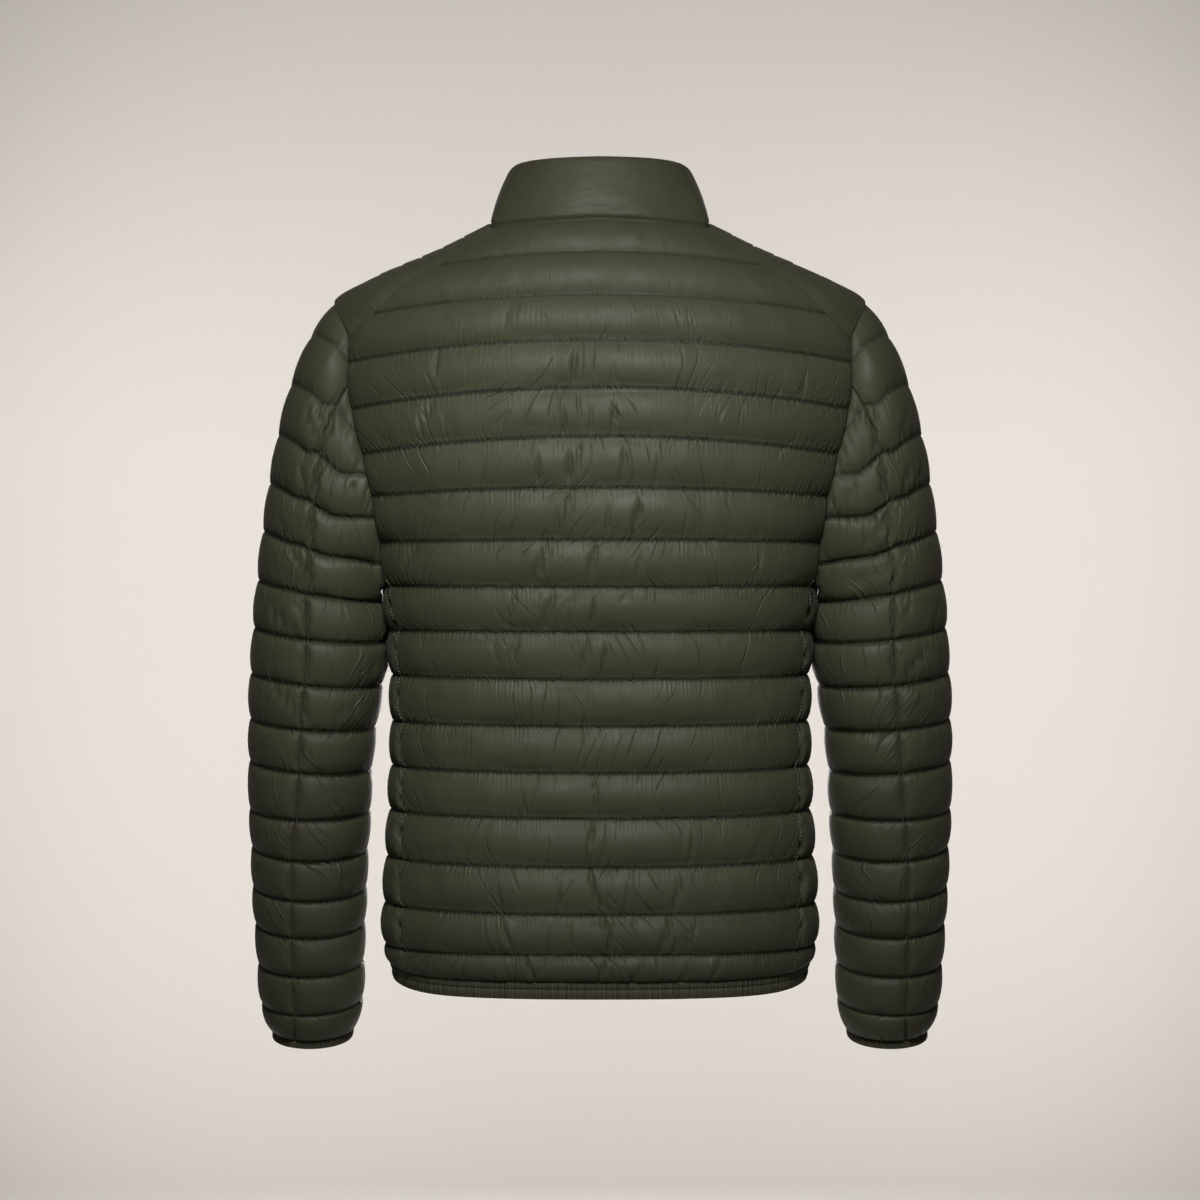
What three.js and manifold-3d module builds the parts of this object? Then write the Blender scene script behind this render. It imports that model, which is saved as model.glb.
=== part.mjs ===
// A light quilted puffer jacket, filled out with no wearer, arms hanging a little forward.
// Millimetres, +Z up, the front faces -Y and the wearer's left is +X.
// The origin is the middle of the neck, level with the points where neck and shoulders meet.
// Every piece is cut on one of two forms: the body, whose level sections are flattened ovals,
// and the left sleeve, whose rings hang below the armhole. The right side is its mirror.
import * as THREE from 'three';
import Module from 'manifold-3d';

const { Manifold } = await loadManifold();

// Cloth
const WALL = 2;
const COLLAR_WALL = 5;
const COLLAR_EDGE_WALL = 3;
const BAND_WALL = 2.6;
const SEAM_GAP = 0.3;
const PUFF = { back: 7, front: 7, side: 4.5, sleeve: 4, seam: 1.2, shoulder: 1.5 };

// Heights and widths that the tables below are built on
const BAND_TOP = -671;
const BAND_BOTTOM = -686;
const CUFF_BAND = 7.5;
const HEM_RISE = { height: 8, from: 15.75, over: 1.25, edge: 186, power: 10 };
const FRONT_EDGE = 5;
const CROWN_Z = -70;
const NECK_CORNER_ANGLE = 32;
const NECK_CORNER_Z = -85;
const UNDERARM_LINE = 7.75;
const UNDERARM_FRONT_ANGLE = -8;

// Quilting: numbered lines, 0 at the neck seam and 17 on the hem band
const SHOULDER_END_LINE = 2.5;
const LAST_LINE = 17;
const HIND_START = 1.5;
const FOREARM_START = 4;
const CAP_END = 6;
const FOREARM_ANGLE = 235;

// Columns of facets across each piece
const COLUMNS = { back: 12, front: 8, sleeveTop: 8, sleeveUnder: 6 };

const named = (names, rows) => rows.map(
  row => Object.fromEntries(names.map((name, i) => [name, row[i]])),
);

// Level sections of the body at the stitch lines
const BODY = named(['z', 'side', 'back', 'front', 'power'], [
  [0, 88, 70, 2, 2.0],
  [-15, 118, 84, 27, 2.0],
  [-29, 146, 92, 42, 2.0],
  [-42, 176, 98, 52, 2.0],
  [-56, 207, 104, 62, 2.0],
  [-70, 231.5, 109, 70, 2.0],
  [-85, 242, 113, 77, 2.0],
  [-110, 246, 118.5, 93, 2.03],
  [-150, 243, 124, 111, 2.1],
  [-200, 232, 127.5, 123, 2.2],
  [-250, 217, 127.5, 128, 2.26],
  [-300, 199, 125, 127, 2.34],
  [-341, 190.5, 120.5, 124, 2.4],
  [-400, 186, 114, 118, 2.4],
  [-460, 185.5, 111, 114.5, 2.4],
  [-520, 187, 113, 115.5, 2.4],
  [-580, 190.5, 117, 118, 2.4],
  [-630, 192.5, 120, 120, 2.4],
  [-655, 190.5, 119.5, 119, 2.4],
  [-671, 186, 116, 115, 2.4],
  [-686, 184, 114, 113.5, 2.4],
]);

// Stitch lines across the body: height at the middle, and rise or drop 200 mm to the side
const LINES = named(['line', 'z', 'droop'], [
  [0, -6, -22],
  [1, -36, -20],
  [2, -74.4, -14],
  [3, -115, -12],
  [4, -156.6, -12],
  [5, -199, -11],
  [6, -243, -5],
  [7, -288, -1],
  [8, -328.8, 1.5],
  [9, -367.7, 1],
  [10, -409, 3],
  [11, -450, 3],
  [12, -490.5, 4],
  [13, -530, 4],
  [14, -571.8, 4],
  [15, -612.5, 3],
  [16, -647, -2],
  [17, -671, 0],
]);

const NECK_SEAM = named(['angle', 'z'], [
  [-90, -85],
  [-79, -75],
  [-72, -60],
  [-62.6, -40],
  [-45, -20],
  [-22, -8],
  [0, -4],
  [16, -6],
  [32, -11],
  [50, -9.5],
  [70, -7.5],
  [90, -6],
]);

// Seams on the body, as distances from the middle plane
const SHOULDER_SEAM = named(['line', 'x'], [
  [0, 94],
  [0.5, 117],
  [1, 143],
  [1.5, 175],
  [2, 200],
  [2.5, 222],
]);
const ARMHOLE_BACK = named(['z', 'x'], [
  [-70, 233],
  [-80, 229.5],
  [-90, 226.5],
  [-111, 222],
  [-150, 222],
  [-190, 214.5],
  [-234, 203.5],
  [-270, 197],
  [-318, 190],
]);
const ARMHOLE_FRONT = named(['z', 'x'], [
  [-70, 233],
  [-80, 229],
  [-90, 225.5],
  [-110, 219],
  [-150, 209],
  [-190, 200.5],
  [-230, 194.5],
  [-270, 192.5],
  [-318, 193],
]);
const SIDE_SEAM = named(['z', 'x'], [
  [-318, 190],
  [-367, 179.5],
  [-406, 178],
  [-450, 175.5],
  [-490, 174.3],
  [-530, 174],
  [-610, 175.5],
  [-650, 172],
  [-671, 170],
]);

// Rows over the shoulder: from a place on the neck seam to a place on the armhole
const SHOULDER_ROWS = named(['neckAngle', 'armSide', 'armZ'], [
  [-88.8, -1, -95],
  [-72, -1, -80],
  [-52, 0, -70],
  [-24, 1, -76],
  [4, 1, -92],
]);

// Rings of the left sleeve: centre, half width, fall to the inside and fall to the back
const SLEEVE = named(['line', 'x', 'y', 'z', 'half', 'roll', 'pitch'], [
  [6, 252.5, -8, -331, 54.5, 0.18, 5],
  [7, 253.5, -12, -370, 57.5, 0.107, 6],
  [8, 256.5, -16, -410, 57.5, 0.1, 6.5],
  [9, 260, -21, -450, 55.5, 0.08, 6.5],
  [10, 262.5, -26, -488, 54, 0.085, 7.5],
  [11, 263.8, -34, -529, 53.5, 0.03, 9],
  [12, 264.7, -42, -564, 51.5, 0.047, 12],
  [13, 265.5, -50, -600, 50.5, 0.035, 13],
  [14, 265.8, -58, -634, 48.7, 0.02, 13.5],
  [15, 265.8, -67, -671, 47.1, 0, 13],
  [16, 265.5, -76, -707, 45.4, -0.02, 13],
  [17, 265, -83, -735.5, 36.6, 0, 11],
]);
const SLEEVE_DEPTH = 1.04;
const HIND_SEAM = named(['line', 'angle'], [
  [1.5, 74],
  [4, 79],
  [6, 82],
  [8, 84.5],
  [10, 84],
  [12, 77],
  [16, 74],
  [17, 68],
]);

// The armhole, once round the left sleeve: place on the body and line and angle on the sleeve
const ARMHOLE = named(['on', 'at', 'angle', 'line'], [
  ['back', 3.5, 74, 1.5],
  ['back', 4, 84, 1.75],
  ['back', 4.5, 94, 2],
  ['back', 5, 103, 2.5],
  ['back', 5.5, 112, 3],
  ['back', 6, 122, 3.5],
  ['back', 6.5, 132, 4],
  ['back', 7, 142, 4.5],
  ['back', 7.5, 153, 5],
  ['back', 7.75, 160, 5.25],
  ['under', 0.25, 168, 5.45],
  ['under', 0.5, 179, 5.5],
  ['under', 0.75, 190, 5.45],
  ['front', 7.75, 200, 5.25],
  ['front', 7.5, 208, 5],
  ['front', 7, 221, 4.5],
  ['front', 6.5, 235, 4],
  ['front', 6, 246, 3.5],
  ['front', 5.5, 257, 3],
  ['front', 5, 267, 2.5],
  ['front', 4.5, 277, 2],
  ['front', 4, 287, 1.75],
  ['front', 3.5, 297, 1.5],
  ['front', 3, 308, 1],
  ['front', 2.5, 319, 0.75],
  ['shoulder', 0, 330, 0.5],
  ['shoulder', 1, 345, 0.25],
  ['shoulder', 2, 360, 0],
  ['shoulder', 3, 375, 0.25],
  ['shoulder', 4, 389, 0.5],
  ['back', 2.5, 402, 0.75],
  ['back', 3, 418, 1],
]);

// Direction in which the sleeve leaves the armhole
const CAP_LEAVES = named(['angle', 'x', 'y', 'z'], [
  [0, 0.8, 0, -0.6],
  [42, 0.72, 0.3, -0.62],
  [74, 0.62, 0.35, -0.7],
  [103, 0.45, 0.35, -0.82],
  [132, 0.35, 0.2, -0.92],
  [160, 0.3, 0.05, -0.95],
  [200, 0.3, -0.1, -0.95],
  [235, 0.4, -0.3, -0.87],
  [267, 0.5, -0.4, -0.77],
  [297, 0.62, -0.38, -0.68],
  [330, 0.74, -0.2, -0.64],
  [360, 0.8, 0, -0.6],
]);
const CAP_FULLNESS = { leaving: 0.72, arriving: 1, easing: 0.45 };
const SLEEVE_AXIS = new THREE.Vector3(0.103, -0.07, -0.99).normalize();
const SLEEVE_CLEARANCE = 9.5;

// Top edge of the collar
const COLLAR = { half: 77, back: 65, front: 65, middleY: -3, bulge: 2.5, rows: 4 };
const COLLAR_TOP = named(['angle', 'z'], [
  [-90, -18],
  [-79, -13],
  [-62, 6],
  [-45, 25],
  [-22, 42],
  [0, 49],
  [30, 52],
  [90, 53],
]);

// Zip, closed: two tapes with a row of teeth each, a box at the foot, a slider and its pull
const ZIP = {
  tapeWidth: 10,
  tapeWall: 1,
  beadWidth: 2.8,
  beadRise: 3.2,
  halfGap: 0.15,
  behind: 0.8,
  collarDepth: 4.4,
  box: { width: 8, depth: 5, height: 9 },
};
const SLIDER = { width: 9, height: 12, plate: 1.4, flange: 1.1, flangeDepth: 2.8, belowTop: 9 };
const BRIDGE = { width: 2.4, height: 9, rise: 3.4, bar: 1.2, leg: 1.5 };
const PULL = { wall: 1.4, hinge: 1.1, gap: 1.7, width: 6.4, arms: 6, length: 24, corner: 1.6 };

async function loadManifold() {
  const wasm = await Module();
  wasm.setup();
  return wasm;
}

const rad = degrees => degrees * Math.PI / 180;
const deg = radians => radians * 180 / Math.PI;
const mix = (a, b, t) => a + (b - a) * t;
const clamp = (value, low, high) => Math.min(high, Math.max(low, value));

// A smooth curve through a table's rows that never overshoots them
function curve(table, key, column) {
  const rows = [...table].sort((a, b) => a[key] - b[key]);
  const x = rows.map(row => row[key]);
  const y = rows.map(row => row[column]);
  const last = x.length - 1;
  const steps = x.slice(1).map((value, i) => (y[i + 1] - y[i]) / (value - x[i]));
  const slopes = x.map((_, i) => {
    if (i === 0) return steps[0];
    if (i === last) return steps[last - 1];
    if (steps[i - 1] * steps[i] <= 0) return 0;
    return 2 * steps[i - 1] * steps[i] / (steps[i - 1] + steps[i]);
  });
  return at => {
    const value = clamp(at, x[0], x[last]);
    let i = 0;
    while (i < last - 1 && value > x[i + 1]) i += 1;
    const width = x[i + 1] - x[i];
    const t = (value - x[i]) / width;
    const rise = y[i + 1] - y[i];
    const bend = slopes[i] * width * t * (1 - t) * (1 - t)
      - slopes[i + 1] * width * t * t * (1 - t);
    return y[i] + rise * t * t * (3 - 2 * t) + bend;
  };
}

const side = curve(BODY, 'z', 'side');
const backDepth = curve(BODY, 'z', 'back');
const frontDepth = curve(BODY, 'z', 'front');
const power = curve(BODY, 'z', 'power');
const lineHeight = curve(LINES, 'line', 'z');
const lineDroop = curve(LINES, 'line', 'droop');
const neckHeight = curve(NECK_SEAM, 'angle', 'z');
const collarTop = curve(COLLAR_TOP, 'angle', 'z');
const shoulderSeam = curve(SHOULDER_SEAM, 'line', 'x');
const armholeBack = curve(ARMHOLE_BACK, 'z', 'x');
const armholeFront = curve(ARMHOLE_FRONT, 'z', 'x');
const sideSeam = curve(SIDE_SEAM, 'z', 'x');
const hindAngle = curve(HIND_SEAM, 'line', 'angle');

// Body form

const depthAt = (z, angle) => (angle >= 0 ? backDepth(z) : frontDepth(z));

// Angle 0 is the left side, 90 the middle of the back and -90 the middle of the front
function onBody(angle, z) {
  const exponent = 2 / power(z);
  const c = Math.cos(rad(angle));
  const s = Math.sin(rad(angle));
  return new THREE.Vector3(
    side(z) * Math.sign(c) * Math.abs(c) ** exponent,
    depthAt(z, angle) * Math.sign(s) * Math.abs(s) ** exponent,
    z,
  );
}

function bodyAngle(x, z, facing) {
  const share = clamp(Math.abs(x) / side(z), 0, 1);
  const angle = deg(Math.acos(share ** (power(z) / 2)));
  return facing * (x >= 0 ? angle : 180 - angle);
}

function bodyNormal(point) {
  const { x, y, z } = point;
  const step = 1;
  const n = power(z);
  const depth = at => (y >= 0 ? backDepth(at) : frontDepth(at));
  const acrossSide = Math.abs(x) / side(z);
  const acrossDepth = Math.abs(y) / depth(z);
  const sideSlope = (side(z + step) - side(z - step)) / (2 * step);
  const depthSlope = (depth(z + step) - depth(z - step)) / (2 * step);
  return new THREE.Vector3(
    Math.sign(x) * acrossSide ** (n - 1) / side(z),
    Math.sign(y) * acrossDepth ** (n - 1) / depth(z),
    -(acrossSide ** n * sideSlope / side(z) + acrossDepth ** n * depthSlope / depth(z)),
  ).normalize();
}

// The lowest lines rise toward the side of the body, most at the hem
function hemRise(line, x) {
  const share = clamp((line - HEM_RISE.from) / HEM_RISE.over, 0, 1);
  return HEM_RISE.height * share * (Math.abs(x) / HEM_RISE.edge) ** HEM_RISE.power;
}

function lineAt(line, x) {
  return lineHeight(line) + lineDroop(line) * (x / 200) ** 2 + hemRise(line, x);
}

// The place where a quilting line, or a height between two, meets a seam given by x of z
function meeting(line, seam) {
  let x = seam(lineHeight(line));
  for (let i = 0; i < 12; i += 1) {
    x = seam(lineAt(line, x));
  }
  return { x, z: lineAt(line, x) };
}

const isPuff = line => Math.abs(line - Math.round(line)) > 0.1;
const puffShare = line => {
  const offset = Math.abs(line - Math.round(line));
  return Math.sin(Math.PI * offset);
};

function vertex(p, m, lift, wall = WALL) {
  return { p, m, lift, wall };
}

function seamVertex(p, line, normal = bodyNormal(p)) {
  return vertex(p, normal, PUFF.seam * puffShare(line));
}

// Seams of the left side, each made once and used by both of the pieces that it joins

const neckPoint = angle => onBody(angle, neckHeight(angle));

function collarPoint(angle, height) {
  const c = Math.cos(rad(angle));
  const s = Math.sin(rad(angle));
  const top = new THREE.Vector3(
    COLLAR.half * c,
    COLLAR.middleY + (s >= 0 ? COLLAR.back : COLLAR.front) * s,
    collarTop(angle),
  );
  const point = neckPoint(angle).lerp(top, height);
  const bulge = COLLAR.bulge * Math.sin(Math.PI * height);
  point.add(new THREE.Vector3(c, s, 0).multiplyScalar(bulge));
  if (angle < -80) point.x = Math.max(point.x, FRONT_EDGE);
  return point;
}

function collarNormal(angle, height) {
  const step = 0.5;
  const across = collarPoint(angle + step, height).sub(collarPoint(angle - step, height));
  const up = collarPoint(angle, height + 0.05).sub(collarPoint(angle, height - 0.05));
  const normal = across.cross(up);
  return angle < -80 ? normal.setX(0).normalize() : normal.normalize();
}

const mirrored = v => ({
  ...v,
  p: new THREE.Vector3(-v.p.x, v.p.y, v.p.z),
  m: new THREE.Vector3(-v.m.x, v.m.y, v.m.z),
});

function neckVertex(angle) {
  const p = neckPoint(angle);
  const m = bodyNormal(p).add(collarNormal(angle, 0.1));
  if (angle < -80) m.setX(0);
  return vertex(p, m.normalize(), 0);
}

function backEdgePoint(line) {
  if (line <= SHOULDER_END_LINE) {
    const x = shoulderSeam(line);
    const z = line === 0 ? neckHeight(NECK_CORNER_ANGLE) : lineAt(line, x);
    return { x, z };
  }
  return line <= UNDERARM_LINE ? meeting(line, armholeBack) : meeting(line, sideSeam);
}

function backEdge(line) {
  const { x, z } = backEdgePoint(line);
  return onBody(bodyAngle(x, z, 1), z);
}

function frontArmEdge(line) {
  if (line >= UNDERARM_LINE) {
    return onBody(UNDERARM_FRONT_ANGLE, lineAt(line, side(lineHeight(line))));
  }
  const { x, z } = meeting(line, armholeFront);
  return onBody(bodyAngle(x, z, -1), z);
}

function shoulderArmPoint({ armSide, armZ }) {
  if (armSide === 0) return onBody(0, CROWN_Z);
  const x = armSide > 0 ? armholeBack(armZ) : armholeFront(armZ);
  return onBody(bodyAngle(x, armZ, armSide), armZ);
}

function underarmPoint(share) {
  const from = backEdge(UNDERARM_LINE);
  const angle = mix(bodyAngle(from.x, from.z, 1), UNDERARM_FRONT_ANGLE, share);
  return onBody(angle, lineAt(UNDERARM_LINE, side(from.z)));
}

function armholePoint({ on, at }) {
  if (on === 'back') return backEdge(at);
  if (on === 'front') return frontArmEdge(at);
  if (on === 'under') return underarmPoint(at);
  return shoulderArmPoint(SHOULDER_ROWS[at]);
}

// Sleeve form

const sleeveCurves = Object.fromEntries(
  ['x', 'y', 'z', 'half', 'roll', 'pitch'].map(name => [name, curve(SLEEVE, 'line', name)]),
);

function clearOfBody(point, clearance) {
  const depth = point.y >= 0 ? backDepth(point.z) : frontDepth(point.z);
  const n = power(point.z);
  const share = clamp(1 - (Math.abs(point.y) / depth) ** n, 0, 1);
  const limit = side(point.z) * share ** (1 / n) + clearance;
  point.x = Math.max(point.x, limit);
  return point;
}

function sleeveRing(angle, line) {
  const ring = name => sleeveCurves[name](line);
  const dx = ring('half') * Math.cos(rad(angle));
  const dy = ring('half') * SLEEVE_DEPTH * Math.sin(rad(angle));
  const z = ring('z') + ring('roll') * dx - Math.tan(rad(ring('pitch'))) * dy;
  return clearOfBody(new THREE.Vector3(ring('x') + dx, ring('y') + dy, z), SLEEVE_CLEARANCE);
}

const armholeRound = ARMHOLE.map(row => ({ ...row, p: armholePoint(row) }));
const armholeTurn = [-360, 0, 360].flatMap(
  turn => armholeRound.map(row => ({
    angle: row.angle + turn,
    line: row.line,
    x: row.p.x,
    y: row.p.y,
    z: row.p.z,
  })),
).filter(row => row.angle >= -160 && row.angle <= 560);
const armholeCurves = Object.fromEntries(
  ['line', 'x', 'y', 'z'].map(name => [name, curve(armholeTurn, 'angle', name)]),
);
const leaves = Object.fromEntries(
  ['x', 'y', 'z'].map(name => [name, curve(CAP_LEAVES, 'angle', name)]),
);

function onSleeve(angle, line) {
  if (line >= CAP_END) return sleeveRing(angle, line);
  const round = ((angle % 360) + 360) % 360;
  const start = new THREE.Vector3(
    armholeCurves.x(round),
    armholeCurves.y(round),
    armholeCurves.z(round),
  );
  const end = sleeveRing(angle, CAP_END);
  const from = armholeCurves.line(round);
  const u = clamp((line - from) / (CAP_END - from), 0, 1);
  const s = u + CAP_FULLNESS.easing * u * (1 - u) * (1 - u);
  const chord = start.distanceTo(end);
  const leaving = new THREE.Vector3(leaves.x(round), leaves.y(round), leaves.z(round));
  leaving.normalize().multiplyScalar(CAP_FULLNESS.leaving * chord);
  const arriving = SLEEVE_AXIS.clone().multiplyScalar(CAP_FULLNESS.arriving * chord);
  const point = new THREE.Vector3();
  point.addScaledVector(start, 2 * s ** 3 - 3 * s ** 2 + 1);
  point.addScaledVector(leaving, s ** 3 - 2 * s ** 2 + s);
  point.addScaledVector(end, 3 * s ** 2 - 2 * s ** 3);
  point.addScaledVector(arriving, s ** 3 - s ** 2);
  const away = clamp(u * 2, 0, 1) * SLEEVE_CLEARANCE;
  return u > 0 ? clearOfBody(point, away) : point;
}

function sleeveNormal(angle, line) {
  const around = onSleeve(angle + 2, line).sub(onSleeve(angle - 2, line));
  const along = onSleeve(angle, line + 0.1).sub(onSleeve(angle, line - 0.02));
  return along.cross(around).normalize();
}

// Where the sleeve and the body meet, the wall leans half way between the two
const armholeVertices = armholeRound.map(({ on, at, angle, line, p }) => {
  const near = sleeveNormal(angle, line + 0.25);
  const m = bodyNormal(p).add(near).normalize();
  return { on, at, angle, line, v: vertex(p, m, on === 'under' ? 0 : PUFF.seam * 0.5) };
});
const armhole = (on, at) => armholeVertices.find(row => row.on === on && row.at === at);
const armholeVertex = (on, at) => armhole(on, at).v;

// Rows of points across each piece

// Rows that end where a later row needs more points carry them in the list called below
const row = (points, below = points) => ({ above: points, below });

function spread(count, make) {
  return Array.from({ length: count - 1 }, (_, i) => make((i + 1) / count));
}

const BODY_LINES = [];
for (let line = 0; line <= LAST_LINE; line += 0.5) {
  BODY_LINES.push(line);
  if (line === 7.5) BODY_LINES.push(UNDERARM_LINE);
}

const shoulderVertices = new Map(
  [0, 0.5, 1, 1.5, 2, 2.5].map(line => {
    if (line === 0) return [line, neckVertex(NECK_CORNER_ANGLE)];
    if (line === 2.5) return [line, armholeVertex('back', 2.5)];
    return [line, seamVertex(backEdge(line), line)];
  }),
);
const sideVertices = new Map(
  BODY_LINES.filter(line => line > UNDERARM_LINE).map(
    line => [line, seamVertex(backEdge(line), line)],
  ),
);

function backEdgeVertex(line) {
  if (line <= SHOULDER_END_LINE) return shoulderVertices.get(line);
  return line <= UNDERARM_LINE ? armholeVertex('back', line) : sideVertices.get(line);
}

// How far a puff stands out: full across the piece, less on the sides and at a seam
function bodyPuff(angle, line, toSeam) {
  const facing = Math.abs(Math.sin(rad(angle)));
  const full = mix(PUFF.side, angle > 0 ? PUFF.back : PUFF.front, facing ** 0.7);
  const share = clamp(toSeam / 0.18, 0.35, 1);
  return full * share * puffShare(line);
}

function backRow(line) {
  const end = backEdgeVertex(line);
  const inner = spread(COLUMNS.back, t => {
    const across = 1 - 2 * t;
    const x = across * end.p.x;
    if (line === 0) {
      const angle = mix(NECK_CORNER_ANGLE, 90, 2 * Math.min(t, 1 - t));
      return t > 0.5 ? mirrored(neckVertex(angle)) : neckVertex(angle);
    }
    const rise = line <= SHOULDER_END_LINE ? end.p.z - lineAt(line, end.p.x) : 0;
    const z = lineAt(line, x) + rise * across ** 2;
    const angle = bodyAngle(x, z, 1);
    const p = onBody(angle, z);
    return vertex(p, bodyNormal(p), bodyPuff(angle, line, 1 - Math.abs(across)));
  });
  return row([end, ...inner, mirrored(end)]);
}

function frontEdgeVertex(line) {
  const z = lineHeight(line);
  const p = onBody(bodyAngle(FRONT_EDGE, z, -1), z);
  return vertex(p, new THREE.Vector3(0, -1, 0), PUFF.front * 0.4 * puffShare(line));
}

function frontBodyRow(line) {
  const start = frontEdgeVertex(line);
  const startAngle = bodyAngle(start.p.x, start.p.z, -1);
  const onArmhole = line <= UNDERARM_LINE;
  const end = onArmhole ? armholeVertex('front', line) : sideVertices.get(line);
  const endAngle = bodyAngle(end.p.x, end.p.z, onArmhole ? -1 : 1);
  const inner = spread(COLUMNS.front, t => {
    const angle = mix(startAngle, endAngle, t);
    const x = onBody(angle, lineHeight(line)).x;
    const p = onBody(angle, lineAt(line, x));
    return vertex(p, bodyNormal(p), bodyPuff(angle, line, Math.min(t, 1 - t) * 1.6));
  });
  const points = [start, ...inner, end];
  if (line !== UNDERARM_LINE) return row(points);
  const under = [0.75, 0.5, 0.25].map(at => armholeVertex('under', at));
  return row(points, [...points, ...under, armholeVertex('back', UNDERARM_LINE)]);
}

function shoulderRow(index) {
  const place = SHOULDER_ROWS[index];
  const start = neckVertex(place.neckAngle);
  const end = armholeVertex('shoulder', index);
  const endAngle = bodyAngle(end.p.x, end.p.z, place.armSide || 1);
  const inner = spread(COLUMNS.front - 2, t => {
    const p = onBody(mix(place.neckAngle, endAngle, t), mix(start.p.z, end.p.z, t));
    return vertex(p, bodyNormal(p), PUFF.shoulder * Math.sin(Math.PI * t));
  });
  return row([start, ...inner, end]);
}

function frontRows() {
  const body = BODY_LINES.filter(line => line >= SHOULDER_END_LINE).map(frontBodyRow);
  const shoulder = SHOULDER_ROWS.map((_, index) => shoulderRow(index)).reverse();
  const seam = [0, 0.5, 1, 1.5, 2, 2.5].map(line => shoulderVertices.get(line));
  return [row(seam), ...shoulder, ...body];
}

function collarRows() {
  const front = SHOULDER_ROWS.map(place => place.neckAngle).concat(NECK_CORNER_ANGLE);
  const back = spread(COLUMNS.back / 2, t => mix(NECK_CORNER_ANGLE, 90, t));
  return Array.from({ length: COLLAR.rows + 1 }, (_, i) => {
    const height = i / COLLAR.rows;
    const at = angle => {
      const thick = angle < -80 ? COLLAR_EDGE_WALL : COLLAR_WALL;
      if (i === 0) return { ...neckVertex(angle), wall: thick };
      const normal = collarNormal(angle, Math.min(height, 0.95));
      return vertex(collarPoint(angle, height), normal, 0, thick);
    };
    const left = [...front, ...back].map(at);
    return row([...left, at(90), ...left.map(mirrored).reverse()]);
  });
}

function sleevePuff(line, toSeam) {
  return PUFF.sleeve * puffShare(line) * clamp(toSeam / 0.2, 0.35, 1);
}

function sleeveVertex(angle, line, toSeam) {
  const p = onSleeve(angle, line);
  const round = ((angle % 360) + 360) % 360;
  const fromArmhole = clamp((line - armholeCurves.line(round)) / 0.9, 0, 1);
  return vertex(p, sleeveNormal(angle, line), sleevePuff(line, toSeam) * fromArmhole);
}

const SLEEVE_LINES = [];
for (let line = 0; line <= LAST_LINE; line += 0.5) {
  SLEEVE_LINES.push(line);
}
const hindVertices = new Map(SLEEVE_LINES.filter(line => line > HIND_START).map(
  line => [line, sleeveVertex(hindAngle(line), line, 0)],
));
const forearmVertices = new Map(SLEEVE_LINES.filter(line => line > FOREARM_START).map(
  line => [line, sleeveVertex(FOREARM_ANGLE, line, 0)],
));

function sleeveArc(from, to, fromVertex, toVertex, line, wholeColumns, wholeTurn) {
  const count = Math.max(1, Math.round(wholeColumns * Math.abs(to - from) / wholeTurn));
  const inner = spread(count, t => {
    const toSeam = Math.min(t, 1 - t) * count / wholeColumns * 2;
    return sleeveVertex(mix(from, to, t), line, toSeam);
  });
  return [fromVertex, ...inner, toVertex];
}

const LINE_OF_ARMHOLE = { 1: 3, 1.5: 3.5, 2: 4.5, 2.5: 5, 3: 5.5, 3.5: 6, 4: 6.5, 4.5: 7, 5: 7.5 };

function sleeveTopRow(line) {
  if (line === 0) return row(['1', '2', '3'].map(at => armholeVertex('shoulder', Number(at))));
  let front = forearmVertices.get(line);
  let frontAngle = FOREARM_ANGLE - 360;
  if (line <= FOREARM_START) {
    const end = line === 0.5 ? armhole('shoulder', 0) : armhole('front', LINE_OF_ARMHOLE[line]);
    front = end.v;
    frontAngle = end.angle - 360;
  }
  let hind = hindVertices.get(line);
  let back = hindAngle(line);
  if (line <= HIND_START) {
    const end = line === 0.5 ? armhole('shoulder', 4) : armhole('back', LINE_OF_ARMHOLE[line]);
    hind = end.v;
    back = end.angle > 360 ? end.angle - 360 : end.angle;
  }
  const points = sleeveArc(frontAngle, back, front, hind, line, COLUMNS.sleeveTop, 200);
  if (line === 0.5) {
    return row(points, [armholeVertex('front', 2.5), ...points, armholeVertex('back', 2.5)]);
  }
  return line === 1.5 ? row(points, [armholeVertex('front', 4), ...points]) : row(points);
}

function sleeveUnderBack(line) {
  const end = armhole('back', LINE_OF_ARMHOLE[line]);
  if (line === HIND_START) return row([end.v], [end.v, armholeVertex('back', 4)]);
  const hind = hindVertices.get(line);
  const points = sleeveArc(hindAngle(line), end.angle, hind, end.v, line, COLUMNS.sleeveUnder, 155);
  return row(points);
}

function sleeveUnderFront(line) {
  const start = armhole('front', LINE_OF_ARMHOLE[line]);
  if (line === FOREARM_START) return row([start.v]);
  const end = forearmVertices.get(line);
  const columns = COLUMNS.sleeveUnder;
  return row(sleeveArc(start.angle, FOREARM_ANGLE, start.v, end, line, columns, 155));
}

function sleeveUnderRow(line) {
  const hind = hindVertices.get(line);
  const end = forearmVertices.get(line);
  return row(sleeveArc(hindAngle(line), FOREARM_ANGLE, hind, end, line, COLUMNS.sleeveUnder, 151));
}

function sleeveUnderStrips() {
  const backLines = SLEEVE_LINES.filter(line => line >= HIND_START && line <= 5);
  const frontLines = SLEEVE_LINES.filter(line => line >= FOREARM_START && line <= 5);
  const back = backLines.map(sleeveUnderBack);
  const front = frontLines.map(sleeveUnderFront);
  const bottom = armholeVertices
    .filter(({ on, at }) => on === 'under' || at === UNDERARM_LINE)
    .map(({ v }) => v);
  const joined = [...back.at(-1).below, ...bottom, ...front.at(-1).below];
  const rest = SLEEVE_LINES.filter(line => line > 5).map(sleeveUnderRow);
  return [back, front, [row(joined), ...rest]];
}

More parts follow.
